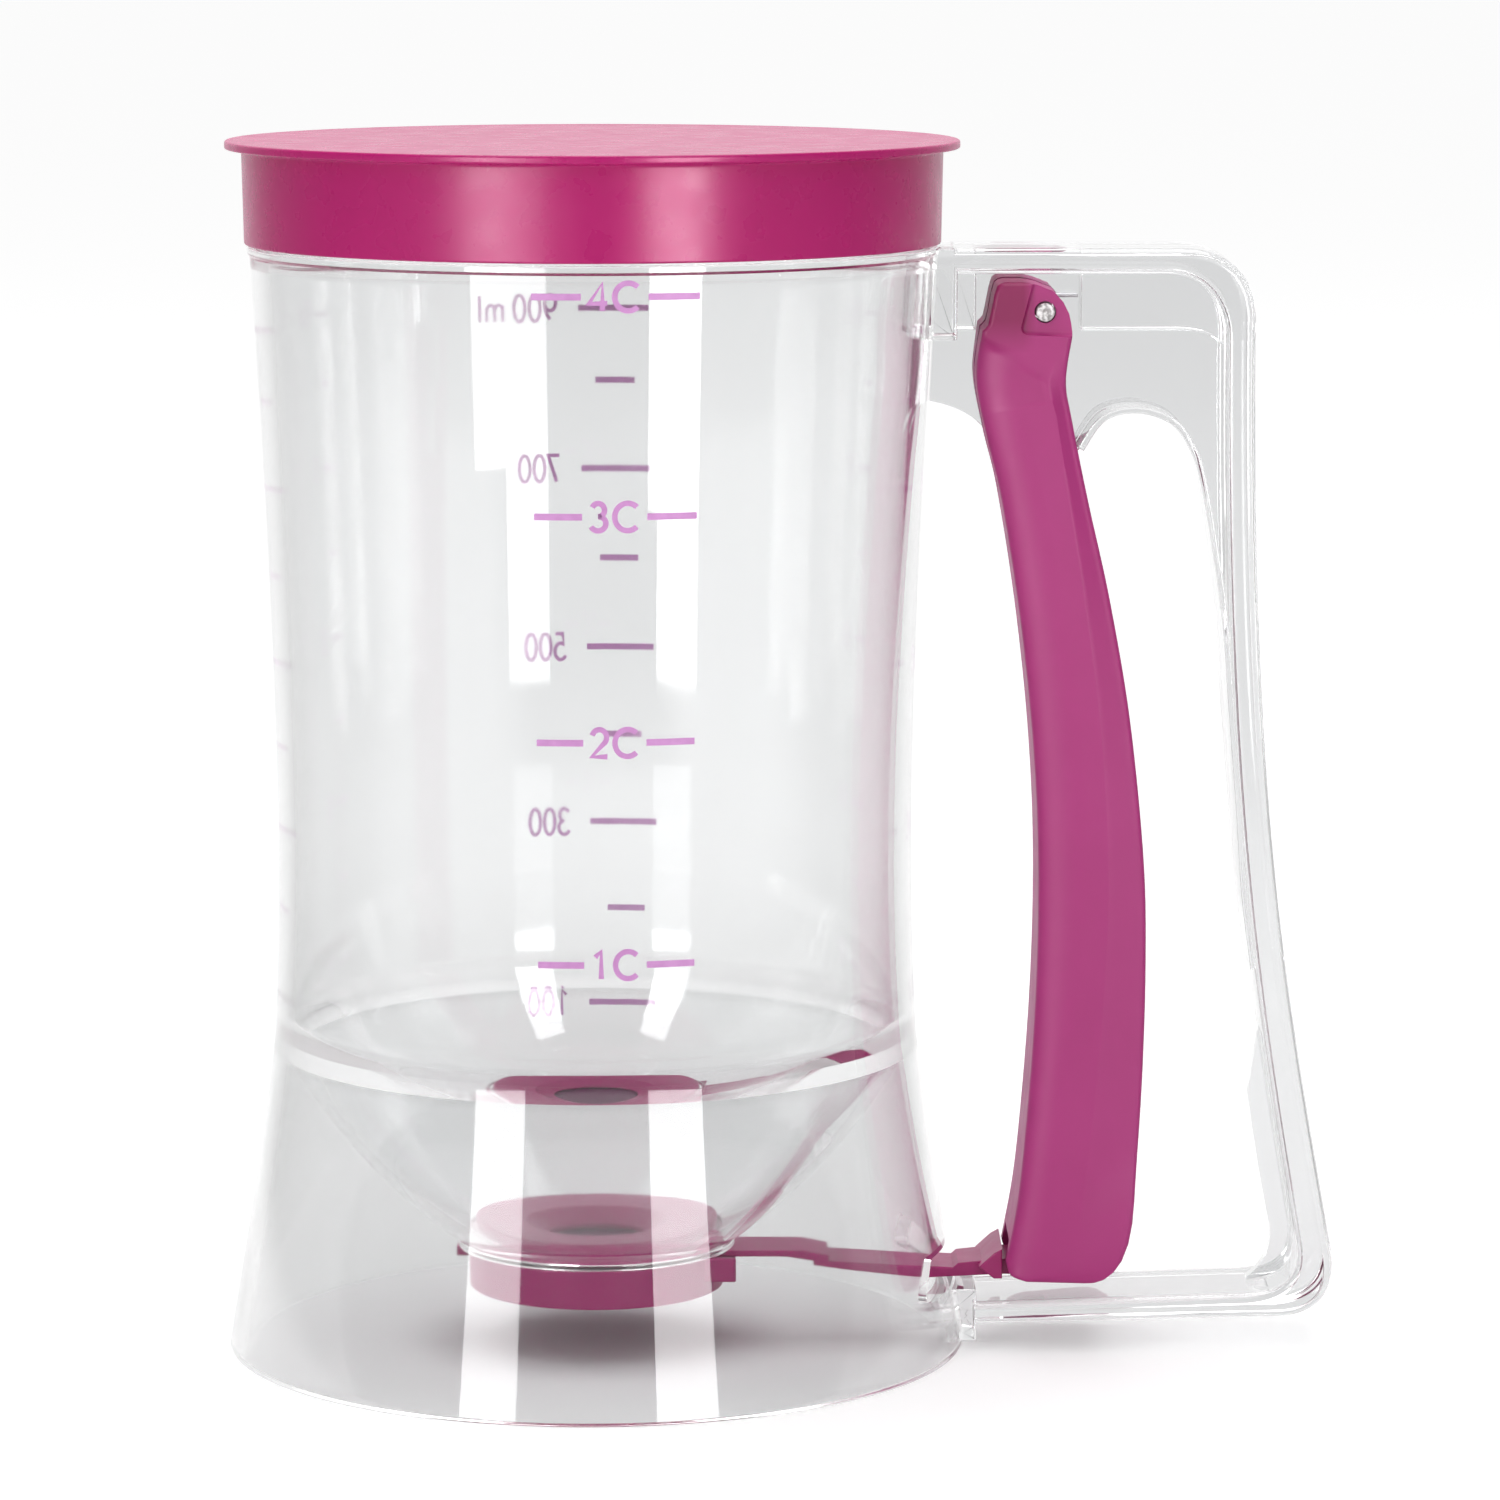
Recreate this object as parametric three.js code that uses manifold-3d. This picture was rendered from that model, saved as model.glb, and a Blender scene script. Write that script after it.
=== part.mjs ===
// A hand-held batter dispenser: a clear jug with a funnel floor, a push-on lid,
// and a squeeze lever in a clear handle frame that pulls a flat shutter off the outlet.
// Millimetres, +Z up. The handle points along +X, and the jug's own axis is +Z.

import * as THREE from 'three';
import { mergeVertices } from 'three/addons/utils/BufferGeometryUtils.js';
import Module from 'manifold-3d';

const wasm = await Module();
wasm.setup();

// Clearance between pieces that meet
const GAP = 0.3;

// Jug: cup, funnel and skirt in one clear moulding
const BASE_RADIUS = 58.4;
const WAIST_RADIUS = 49.9;
const WAIST_HEIGHT = 80;
const SHOULDER_RADIUS = 53.3;
const SHOULDER_HEIGHT = 172.6;
const BEAD_RADIUS = 53.7;
const BEAD_TOP = 174;
const NECK_RADIUS = 52;
const NECK_TOP = 188.5;
const WALL = 2.8;
const SKIRT_WALL = 2.6;
const NECK_WALL = 1.8;
const FUNNEL_TOP = 50.5;
const OUTLET_BORE = 19.8;
const OUTLET_FLANGE = 22;
const FLANGE_BOTTOM = 15.5;
const FLANGE_TOP = 16.8;
const JUG_SIDES = 56;

// Slot in the skirt for the shutter's bar, across and up, wider at its foot
const SLOT_OUTLINE = [
  [-22.8, 10.3], [22.8, 10.3], [23.6, 11.6], [18.2, 16.1], [17, 16.6], [-17, 16.6], [-18.2, 16.1],
  [-23.6, 11.6],
];

// Lid
const LID_RADIUS = 57.05;
const LID_TOP = 190.4;
const LID_PLATE = 1.4;
const BAND_TOP_RADIUS = 54.45;
const BAND_BOTTOM_RADIUS = 54.15;
const BAND_BOTTOM = 174.4;
const BAND_INNER_RADIUS = 52.35;

// Handle frame
const FRAME_HALF_WIDTH = 10;
const FRAME_TOP = 174;
const FRAME_OUT = 116.4;
const FRAME_EDGE = 1.6;
const WEB_HALF = 1.25;
const RIM_HALF_WIDTH = 9.3;
const RIM_THICKNESS = 1.3;
const STIFFENER_HALF = 4.5;
const STIFFENER_TOP = 171;
const STIFFENER_BOTTOM = 161;
const ROOT_X = 46;
const TOP_PAD_OUT = 56.4;
const TOP_PAD_BOTTOM = 159.8;
const FOOT_PAD_OUT = 60.2;
const FOOT_PAD_BOTTOM = 1.6;
const FOOT_PAD_TOP = 9.9;

// Pivot of the lever
const PIVOT_X = 69.9;
const PIVOT_Z = 164.3;
const PIN_RADIUS = 1.42;
const PIN_LENGTH = 24.6;
const BOSS_RADIUS = 2.45;
const BOSS_HALF = 2.4;

// Squeeze lever, a hollow channel that straddles the web
const LEVER_HALF_WIDTH = 12.2;
const LEVER_ROUND = 2.3;
const CHANNEL_HALF = 9.9;
const SPINE = 2.2;
const HEAD_TOP = 168.9;
const HEAD_CEILING = 167.1;
const LEVER_BOTTOM = 11;
const LEVER_FLOOR = 13.2;
const WEB_SLOT_HALF = 1.65;
const WEB_SLOT_BOTTOM = 136;
const NOTCH_HALF_WIDTH = 6.9;
const NOTCH_TOP = 17.2;
const NOTCH_END_X = 71.4;
const RECESS_DEPTH = 0.8;

// Valve: seat ring above the shutter, cup below it
const SEAT_RADIUS = 19.5;
const SEAT_TOP = 20.2;
const SEAT_BOTTOM = 15.8;
const SEAT_MOUTH = 11.3;
const OUTLET_RADIUS = 8;
const CUP_RADIUS = 20.2;
const CUP_TOP = 15.2;
const CUP_BOTTOM = 9;
const CUP_FLOOR = 12;
const NOZZLE_RADIUS = 9.6;
const NOZZLE_BOTTOM = 9.8;
const GUIDE_END_X = 22.1;
const GUIDE_HALF_WIDTH = 10.6;
const GUIDE_BOTTOM = 11.3;

// Shutter: blade, strap, bar and hook in one moulding
const BLADE_HALF_WIDTH = 9.4;
const BLADE_BOTTOM = 14.2;
const BLADE_TOP = 15.2;
const BLADE_SHOULDER_X = 13.5;
const STRAP_HALF_WIDTH = 5.2;
const HOOK_X = 67.9;
const HOOK_THICKNESS = 1.8;
const HOOK_HALF_WIDTH = 9.2;
// The lever's floor rises to 14.5 mm when it is squeezed, so the hook's arms stay above that
const HOOK_BOTTOM = 14.8;
const HOOK_TOP = 17.6;
const BAR_BOTTOM = 11.3;
const COLLAR_X = 63;
const COLLAR_HALF_WIDTH = 7.6;

// Return spring round the pin
const WIRE_RADIUS = 0.35;
const COIL_RADIUS = 2.1;
const COIL_PITCH = 1.15;
const COIL_START_Y = -3.3;
const COIL_TURNS = 4.2;
const FIRST_LEG_END_X = 75.3;
const LAST_LEG = 13.4;
const STEPS_PER_TURN = 8;
const WIRE_SIDES = 5;

// Colours and finishes
const clearPlastic = new THREE.MeshStandardMaterial({
  color: 0xe8ebed, roughness: 0.08, metalness: 0, transparent: true, opacity: 0.35,
});
const purplePlastic = new THREE.MeshStandardMaterial({ color: 0xa8387c, roughness: 0.35, metalness: 0 });
const steel = new THREE.MeshStandardMaterial({ color: 0xb9bcc0, roughness: 0.35, metalness: 1 });

// Solids from geometry and back

function toSolid(geometry) {
  const bare = geometry.clone();
  bare.deleteAttribute('normal');
  bare.deleteAttribute('uv');
  const merged = mergeVertices(bare, 1e-4);
  const mesh = new wasm.Mesh({
    numProp: 3,
    vertProperties: new Float32Array(merged.attributes.position.array),
    triVerts: new Uint32Array(merged.index.array),
  });
  return new wasm.Manifold(mesh);
}

function toGeometry(solid) {
  const mesh = solid.getMesh();
  const geometry = new THREE.BufferGeometry();
  geometry.setAttribute('position', new THREE.BufferAttribute(mesh.vertProperties, 3));
  geometry.setIndex(new THREE.BufferAttribute(mesh.triVerts, 1));
  geometry.computeVertexNormals();
  return geometry;
}

function signedVolume(geometry) {
  const position = geometry.attributes.position;
  const index = geometry.index;
  const corner = [new THREE.Vector3(), new THREE.Vector3(), new THREE.Vector3()];
  let total = 0;
  for (let i = 0; i < index.count; i += 3) {
    corner.forEach((point, k) => point.fromBufferAttribute(position, index.getX(i + k)));
    total += corner[0].dot(corner[1].clone().cross(corner[2])) / 6;
  }
  return total;
}

// A profile of [radius, height] points turned about the jug's axis
function revolve(profile, sides) {
  const points = profile.map(([radius, height]) => new THREE.Vector2(radius, height));
  const onAxis = profile[0][0] === 0;
  if (!onAxis) points.push(points[0].clone());
  const geometry = new THREE.LatheGeometry(points, sides);
  geometry.rotateX(Math.PI / 2);
  geometry.deleteAttribute('normal');
  geometry.deleteAttribute('uv');
  const merged = mergeVertices(geometry, 1e-4);
  if (signedVolume(merged) < 0) {
    const order = merged.index.array;
    for (let i = 0; i < order.length; i += 3) [order[i], order[i + 1]] = [order[i + 1], order[i]];
  }
  return toSolid(merged);
}

// An outline in X and Z made into a plate between two values of Y
function plateXZ(shape, yLow, yHigh, edge = 0, curveSegments = 8) {
  const geometry = new THREE.ExtrudeGeometry(shape, {
    depth: yHigh - yLow - 2 * edge,
    bevelEnabled: edge > 0,
    bevelThickness: edge,
    bevelSize: edge,
    bevelOffset: -edge,
    bevelSegments: 3,
    curveSegments,
  });
  geometry.rotateX(Math.PI / 2);
  geometry.translate(0, yHigh - edge, 0);
  return toSolid(geometry);
}

// An outline in X and Y made into a plate between two values of Z
function plateXY(shape, zLow, zHigh, curveSegments = 12) {
  const geometry = new THREE.ExtrudeGeometry(shape, {
    depth: zHigh - zLow, bevelEnabled: false, curveSegments,
  });
  geometry.translate(0, 0, zLow);
  return toSolid(geometry);
}

function box([xLow, yLow, zLow], [xHigh, yHigh, zHigh]) {
  const geometry = new THREE.BoxGeometry(xHigh - xLow, yHigh - yLow, zHigh - zLow);
  geometry.translate((xLow + xHigh) / 2, (yLow + yHigh) / 2, (zLow + zHigh) / 2);
  return toSolid(geometry);
}

function cylinderAlongY(radius, length, x, z, sides = 24) {
  const geometry = new THREE.CylinderGeometry(radius, radius, length, sides);
  geometry.translate(x, 0, z);
  return toSolid(geometry);
}

function curve(start, startHandle, endHandle, end, steps) {
  const bezier = new THREE.CubicBezierCurve(
    new THREE.Vector2(...start), new THREE.Vector2(...startHandle),
    new THREE.Vector2(...endHandle), new THREE.Vector2(...end),
  );
  return bezier.getPoints(steps).map((point) => [point.x, point.y]);
}

function spline(points, steps) {
  const vectors = points.map(([x, y]) => new THREE.Vector2(x, y));
  return new THREE.SplineCurve(vectors).getPoints(steps);
}

function outline(points) {
  return new THREE.Shape(points.map(([x, y]) => new THREE.Vector2(x, y)));
}

// Jug

const skirtOutside = curve(
  [BASE_RADIUS, 0], [BASE_RADIUS - 6.4, 39.5], [WAIST_RADIUS, WAIST_HEIGHT - 39.7],
  [WAIST_RADIUS, WAIST_HEIGHT], 8,
);
const cupOutside = curve(
  [WAIST_RADIUS, WAIST_HEIGHT], [WAIST_RADIUS, WAIST_HEIGHT + 33.2],
  [SHOULDER_RADIUS - 0.4, SHOULDER_HEIGHT - 8], [SHOULDER_RADIUS, SHOULDER_HEIGHT], 6,
);
const jugOutside = [
  ...skirtOutside,
  ...cupOutside.slice(1),
  [BEAD_RADIUS, SHOULDER_HEIGHT + 0.4],
  [BEAD_RADIUS, BEAD_TOP],
];

function inward(points, thickness) {
  return points.map(([radius, height]) => [radius - thickness, height]);
}

function makeJug() {
  const cupInside = inward([...skirtOutside, ...cupOutside.slice(1)], WALL)
    .filter(([, height]) => height > FUNNEL_TOP + 3 && height < SHOULDER_HEIGHT);
  const funnelOutside = curve(
    [OUTLET_FLANGE - 0.4, FLANGE_TOP - 0.2], [30, 22], [43, 37.5], [48.4, 46], 6,
  );
  const funnelInside = curve(
    [OUTLET_BORE + 0.4, FLANGE_TOP + 1.6], [28.3, 23.6], [41.2, 38.6], [47.8, FUNNEL_TOP], 6,
  );
  const skirtInside = inward(skirtOutside, SKIRT_WALL)
    .filter(([, height]) => height < 44);
  const neckInside = NECK_RADIUS - NECK_WALL;
  const profile = [
    ...jugOutside,
    [NECK_RADIUS, BEAD_TOP],
    [NECK_RADIUS, NECK_TOP - 0.5],
    [NECK_RADIUS - 0.5, NECK_TOP],
    [neckInside + 0.5, NECK_TOP],
    [neckInside, NECK_TOP - 0.5],
    ...cupInside.reverse(),
    ...funnelInside.reverse(),
    [OUTLET_BORE, FLANGE_TOP + 1.2],
    [OUTLET_BORE, FLANGE_BOTTOM],
    [OUTLET_FLANGE, FLANGE_BOTTOM],
    [OUTLET_FLANGE, FLANGE_TOP - 0.3],
    ...funnelOutside,
    ...skirtInside.reverse(),
  ];
  const cutter = plateXZ(outline(SLOT_OUTLINE), -BASE_RADIUS - 2, -BASE_RADIUS + 12).rotate([0, 0, 90]);
  return revolve(profile, JUG_SIDES).subtract(cutter);
}

// Lid

function makeLid() {
  const underPlate = LID_TOP - LID_PLATE;
  return revolve([
    [0, underPlate],
    [BAND_INNER_RADIUS, underPlate],
    [BAND_INNER_RADIUS, BAND_BOTTOM],
    [BAND_BOTTOM_RADIUS, BAND_BOTTOM],
    [BAND_TOP_RADIUS, underPlate],
    [LID_RADIUS - 0.5, underPlate],
    [LID_RADIUS, underPlate + 0.4],
    [LID_RADIUS, LID_TOP - 0.5],
    [LID_RADIUS - 0.6, LID_TOP],
    [0, LID_TOP],
  ], JUG_SIDES);
}

// Handle frame

// The edge of the web over the finger space, from the lower end of its rim up and round
const archPoints = [
  [102.9, 61], [101.3, 73], [100.3, 86.6], [99.3, 99.5], [98, 115.9], [96.4, 127.5],
  [94.4, 140.5], [90.6, 146.9], [85, 149.6], [79.6, 148], [76.3, 143.2],
];

function makeFrame() {
  const band = new THREE.Shape();
  band.moveTo(ROOT_X, FRAME_TOP);
  band.lineTo(91, FRAME_TOP);
  band.bezierCurveTo(97.5, FRAME_TOP, 102.6, 170.5, 102.6, 163);
  band.bezierCurveTo(102.6, 85, 109.5, 53, 115.8, 18);
  band.bezierCurveTo(FRAME_OUT + 1.3, 9.5, 114.5, 5.4, 107, 5.3);
  band.lineTo(ROOT_X, 3.9);
  band.lineTo(ROOT_X, 7.2);
  band.lineTo(103, 9.2);
  band.bezierCurveTo(109, 9.6, 111.3, 12, 110.6, 17);
  band.bezierCurveTo(104.6, 52, 97.8, 86, 97.8, 160);
  band.bezierCurveTo(97.8, 166, 94.5, 170, 89, 170);
  band.lineTo(ROOT_X, 170);

  const arch = spline(archPoints, 30);
  const web = new THREE.Shape();
  web.moveTo(ROOT_X, 172);
  web.lineTo(95, 172);
  web.quadraticCurveTo(100.2, 171, 100.2, 163);
  web.bezierCurveTo(100.2, 85.5, 107, 52.5, 113.2, 17.5);
  web.quadraticCurveTo(114, 8, 107, 7);
  web.lineTo(104, 7);
  web.lineTo(103.4, 9.9);
  web.quadraticCurveTo(107.6, 13, 107.1, 18);
  web.quadraticCurveTo(105, 28, 103.3, 40);
  web.lineTo(105, 51);
  web.lineTo(104.9, 60);
  arch.forEach((point) => web.lineTo(point.x, point.y));
  web.quadraticCurveTo(74, 139.6, 70.5, 139.6);
  web.quadraticCurveTo(66, 139.8, 61.2, 145.1);
  web.quadraticCurveTo(57.5, 150.2, ROOT_X, 150.3);

  const rim = arch.map((point) => [point.x, point.y]);
  const rimBack = arch.map((point, i) => {
    const before = arch[Math.max(i - 1, 0)];
    const after = arch[Math.min(i + 1, arch.length - 1)];
    const along = new THREE.Vector2().subVectors(after, before).normalize();
    return [point.x + along.y * RIM_THICKNESS, point.y - along.x * RIM_THICKNESS];
  });

  const stiffenerLeft = box(
    [ROOT_X, -STIFFENER_HALF, STIFFENER_BOTTOM], [59.5, STIFFENER_HALF, STIFFENER_TOP],
  );
  const stiffenerRight = new THREE.Shape();
  stiffenerRight.moveTo(75.8, STIFFENER_TOP);
  stiffenerRight.lineTo(95, STIFFENER_TOP);
  stiffenerRight.lineTo(100, 165);
  stiffenerRight.lineTo(100, 157.5);
  stiffenerRight.lineTo(98.2, 157.5);
  stiffenerRight.bezierCurveTo(97.3, 160.2, 95, STIFFENER_BOTTOM, 90, STIFFENER_BOTTOM);
  stiffenerRight.lineTo(75.8, STIFFENER_BOTTOM);

  const topPad = box(
    [ROOT_X, -FRAME_HALF_WIDTH, TOP_PAD_BOTTOM], [TOP_PAD_OUT, FRAME_HALF_WIDTH, FRAME_TOP],
  );
  const footPad = box(
    [ROOT_X, -FRAME_HALF_WIDTH, FOOT_PAD_BOTTOM], [FOOT_PAD_OUT, FRAME_HALF_WIDTH, FOOT_PAD_TOP],
  );
  const aboveFrame = FRAME_TOP + 6;
  const jugClearance = revolve([
    [0, 0],
    ...jugOutside.map(([radius, height]) => [radius + GAP, height]),
    [BEAD_RADIUS + GAP, aboveFrame],
    [0, aboveFrame],
  ], JUG_SIDES);
  const boss = cylinderAlongY(BOSS_RADIUS, 2 * BOSS_HALF, PIVOT_X, PIVOT_Z);
  const pinHole = cylinderAlongY(PIN_RADIUS + GAP, PIN_LENGTH, PIVOT_X, PIVOT_Z);

  return plateXZ(band, -FRAME_HALF_WIDTH, FRAME_HALF_WIDTH, FRAME_EDGE, 10)
    .add(plateXZ(web, -WEB_HALF, WEB_HALF))
    .add(plateXZ(outline([...rim, ...rimBack.reverse()]), -RIM_HALF_WIDTH, RIM_HALF_WIDTH))
    .add(stiffenerLeft)
    .add(plateXZ(stiffenerRight, -STIFFENER_HALF, STIFFENER_HALF))
    .add(topPad)
    .add(footPad)
    .add(boss)
    .subtract(pinHole)
    .subtract(jugClearance);
}

// Squeeze lever

const leverFront = [
  [60.2, 161.3], [59.4, 153.7], [61.1, 144.5], [63.4, 135], [66.4, 116.4], [68.6, 96],
  [69.5, 76], [69, 53], [67, 27.6], [64.8, 14.2],
];
const leverBack = [
  [84.9, 24.4], [86, 43.6], [86.4, 62.7], [85.9, 79], [83.6, 100.7], [80.3, 119.5],
  [76.8, 135], [74.2, 147.5], [73.2, 153.7], [74.1, 160.5],
];

function makeLever() {
  const front = spline(leverFront, 22);
  const back = spline(leverBack, 20);
  const body = new THREE.Shape();
  body.moveTo(62.4, HEAD_TOP);
  body.lineTo(61, 162.1);
  front.forEach((point) => body.lineTo(point.x, point.y));
  body.lineTo(65.5, 12.3);
  body.lineTo(67.6, 11.5);
  body.lineTo(78, LEVER_BOTTOM);
  body.bezierCurveTo(82.6, LEVER_BOTTOM, 84.2, 17, 84.9, 24.4);
  back.slice(1).forEach((point) => body.lineTo(point.x, point.y));
  body.lineTo(73.8, 163.6);
  body.lineTo(72.8, 165.8);
  body.lineTo(71, 168);
  body.lineTo(67.9, HEAD_TOP);

  const farSide = 95;
  const channel = new THREE.Shape();
  channel.moveTo(farSide, HEAD_CEILING);
  channel.lineTo(64.6, HEAD_CEILING);
  channel.lineTo(63.3, 162.3);
  front.slice(0, -1).forEach((point) => channel.lineTo(point.x + SPINE, point.y));
  channel.lineTo(67.2, LEVER_FLOOR);
  channel.lineTo(farSide, LEVER_FLOOR);

  const recess = new THREE.Shape();
  recess.moveTo(67.9, 168.2);
  recess.lineTo(66.2, 162.2);
  recess.quadraticCurveTo(66, 160.9, 67.3, 160.8);
  recess.lineTo(73.2, 160.6);
  recess.quadraticCurveTo(73.4, 166.2, 67.9, 168.2);
  const skin = LEVER_HALF_WIDTH - RECESS_DEPTH;
  const beyond = LEVER_HALF_WIDTH + 1;
  const nearSide = 50;
  const webSlot = box(
    [nearSide, -WEB_SLOT_HALF, WEB_SLOT_BOTTOM], [farSide, WEB_SLOT_HALF, HEAD_TOP + 1],
  );
  const notch = box(
    [nearSide, -NOTCH_HALF_WIDTH, LEVER_BOTTOM - 1], [NOTCH_END_X, NOTCH_HALF_WIDTH, NOTCH_TOP],
  );

  return plateXZ(body, -LEVER_HALF_WIDTH, LEVER_HALF_WIDTH, LEVER_ROUND)
    .subtract(plateXZ(channel, -CHANNEL_HALF, CHANNEL_HALF))
    .subtract(webSlot)
    .subtract(notch)
    .subtract(plateXZ(recess, -beyond, -skin))
    .subtract(plateXZ(recess, skin, beyond))
    .subtract(cylinderAlongY(PIN_RADIUS + GAP, 2 * beyond, PIVOT_X, PIVOT_Z));
}

function makePin() {
  const half = PIN_LENGTH / 2;
  const pin = revolve([
    [0, -half], [PIN_RADIUS - 0.25, -half], [PIN_RADIUS, -half + 0.25],
    [PIN_RADIUS, half - 0.25], [PIN_RADIUS - 0.25, half], [0, half],
  ], 24);
  return pin.rotate([90, 0, 0]);
}

// Valve

function makeSeat() {
  return revolve([
    [OUTLET_RADIUS, SEAT_BOTTOM], [SEAT_RADIUS, SEAT_BOTTOM], [SEAT_RADIUS, SEAT_TOP - 0.7],
    [SEAT_RADIUS - 0.6, SEAT_TOP], [SEAT_MOUTH, SEAT_TOP - 0.8], [OUTLET_RADIUS, SEAT_BOTTOM + 0.8],
  ], 48);
}

// Plan of the blade, or of the space it slides in, with a round closed end
function bladePlan(halfWidth, shoulderX, endX, endHalfWidth) {
  const plan = new THREE.Shape();
  plan.moveTo(0, -halfWidth);
  plan.lineTo(shoulderX, -halfWidth);
  plan.lineTo(endX, -endHalfWidth);
  plan.lineTo(endX, endHalfWidth);
  plan.lineTo(shoulderX, halfWidth);
  plan.lineTo(0, halfWidth);
  plan.absarc(0, 0, halfWidth, Math.PI / 2, 1.5 * Math.PI, false);
  return plan;
}

function makeValveCup() {
  const shell = revolve([
    [OUTLET_RADIUS, CUP_TOP], [OUTLET_RADIUS, NOZZLE_BOTTOM], [NOZZLE_RADIUS, NOZZLE_BOTTOM],
    [NOZZLE_RADIUS, CUP_FLOOR], [CUP_RADIUS - 1.9, CUP_FLOOR], [CUP_RADIUS - 1.9, CUP_BOTTOM],
    [CUP_RADIUS - 0.4, CUP_BOTTOM], [CUP_RADIUS, CUP_BOTTOM + 0.6], [CUP_RADIUS, CUP_TOP],
  ], 48);
  const guide = box(
    [15, -GUIDE_HALF_WIDTH, GUIDE_BOTTOM], [GUIDE_END_X, GUIDE_HALF_WIDTH, CUP_TOP],
  );
  const catchLug = box([-22.2, -1.6, 13.6], [-19.4, 1.6, CUP_TOP]);
  const runway = bladePlan(BLADE_HALF_WIDTH + GAP, 20, 30, BLADE_HALF_WIDTH + GAP);
  return shell.add(guide).add(catchLug).subtract(plateXY(runway, BLADE_BOTTOM - GAP, 20));
}

function makeShutter() {
  const blade = bladePlan(BLADE_HALF_WIDTH, BLADE_SHOULDER_X, 19, STRAP_HALF_WIDTH);
  const hookEnd = HOOK_X + HOOK_THICKNESS;
  const strap = outline([
    [17, BLADE_TOP], [32.7, BLADE_TOP], [36.8, 14.4], [36.8, 13.5], [56.6, 12.4], [57.4, 13.1],
    [64, 13.8], [HOOK_X + 0.6, 13.8], [HOOK_X + 0.6, BAR_BOTTOM], [64, BAR_BOTTOM], [52, 10.7],
    [40.3, 12], [34.4, 12.8], [34.4, 13.5], [30, BLADE_BOTTOM], [17, BLADE_BOTTOM],
  ]);
  const collar = outline([
    [COLLAR_X - 2.4, 13], [COLLAR_X, 15.2], [COLLAR_X + 1.3, 15.9], [COLLAR_X + 1.3, 11.1],
    [COLLAR_X, 11.1],
  ]);
  const hook = outline([
    [HOOK_X, HOOK_BOTTOM], [HOOK_X, HOOK_TOP], [hookEnd - 0.5, HOOK_TOP],
    [hookEnd, HOOK_TOP - 0.8], [hookEnd, HOOK_BOTTOM],
  ]);
  const hookRoot = box(
    [HOOK_X, -STRAP_HALF_WIDTH, BAR_BOTTOM], [hookEnd, STRAP_HALF_WIDTH, HOOK_BOTTOM + 0.4],
  );
  return plateXY(blade, BLADE_BOTTOM, BLADE_TOP)
    .add(plateXZ(strap, -STRAP_HALF_WIDTH, STRAP_HALF_WIDTH))
    .add(plateXZ(collar, -COLLAR_HALF_WIDTH, COLLAR_HALF_WIDTH))
    .add(plateXZ(hook, -HOOK_HALF_WIDTH, HOOK_HALF_WIDTH))
    .add(hookRoot);
}

// Return spring: a straight leg under the handle frame, the coil, and a leg on the lever

function springPath() {
  const startAngle = Math.PI / 2;
  const endAngle = startAngle + 2 * Math.PI * COIL_TURNS;
  const steps = Math.round(COIL_TURNS * STEPS_PER_TURN);
  const at = (angle) => new THREE.Vector3(
    PIVOT_X + COIL_RADIUS * Math.cos(angle),
    COIL_START_Y - COIL_PITCH * (angle - startAngle) / (2 * Math.PI),
    PIVOT_Z + COIL_RADIUS * Math.sin(angle),
  );
  const path = [new THREE.Vector3(FIRST_LEG_END_X, COIL_START_Y, PIVOT_Z + COIL_RADIUS)];
  for (let i = 0; i <= steps; i += 1) {
    path.push(at(startAngle + (endAngle - startAngle) * i / steps));
  }
  const last = path[path.length - 1];
  const along = new THREE.Vector3(-Math.sin(endAngle), 0, Math.cos(endAngle));
  path.push(last.clone().addScaledVector(along, LAST_LEG));
  return path;
}

// The least distance between stretches of the coil that aren't neighbours on the path
function leastGap(path, wireRadius) {
  let least = Infinity;
  for (let i = 1; i < path.length - 1; i += 1) {
    for (let j = i + STEPS_PER_TURN - 1; j < path.length - 1; j += 1) {
      least = Math.min(least, path[i].distanceTo(path[j]) - 2 * wireRadius);
    }
  }
  return least;
}

function sweptWire(path, radius, sides) {
  const positions = [];
  const faces = [];
  let across = new THREE.Vector3(0, 1, 0);
  path.forEach((point, i) => {
    const before = path[Math.max(i - 1, 0)];
    const after = path[Math.min(i + 1, path.length - 1)];
    const along = new THREE.Vector3().subVectors(after, before).normalize();
    across = across.clone().addScaledVector(along, -across.dot(along)).normalize();
    const up = new THREE.Vector3().crossVectors(along, across);
    for (let k = 0; k < sides; k += 1) {
      const angle = 2 * Math.PI * k / sides;
      const corner = point.clone()
        .addScaledVector(across, radius * Math.cos(angle))
        .addScaledVector(up, radius * Math.sin(angle));
      positions.push(corner.x, corner.y, corner.z);
    }
  });
  for (let i = 0; i < path.length - 1; i += 1) {
    for (let k = 0; k < sides; k += 1) {
      const a = i * sides + k;
      const b = i * sides + (k + 1) % sides;
      faces.push(a, b, a + sides, b, b + sides, a + sides);
    }
  }
  const lastRing = (path.length - 1) * sides;
  for (let k = 1; k < sides - 1; k += 1) {
    faces.push(0, k + 1, k);
    faces.push(lastRing, lastRing + k, lastRing + k + 1);
  }
  const geometry = new THREE.BufferGeometry();
  geometry.setAttribute('position', new THREE.Float32BufferAttribute(positions, 3));
  geometry.setIndex(faces);
  return geometry;
}

function makeSpring() {
  const path = springPath();
  console.log('return spring, least gap between turns in mm:', leastGap(path, WIRE_RADIUS).toFixed(2));
  return toSolid(sweptWire(path, WIRE_RADIUS, WIRE_SIDES));
}

// Assembly. The jug's axis stands off the middle, so that the origin is under the middle of the whole.

const dispenser = new THREE.Group();
dispenser.position.x = (BASE_RADIUS - FRAME_OUT) / 2;

function addPart(name, solid, material) {
  const mesh = new THREE.Mesh(toGeometry(solid), material);
  mesh.name = name;
  dispenser.add(mesh);
  return mesh;
}

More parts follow.
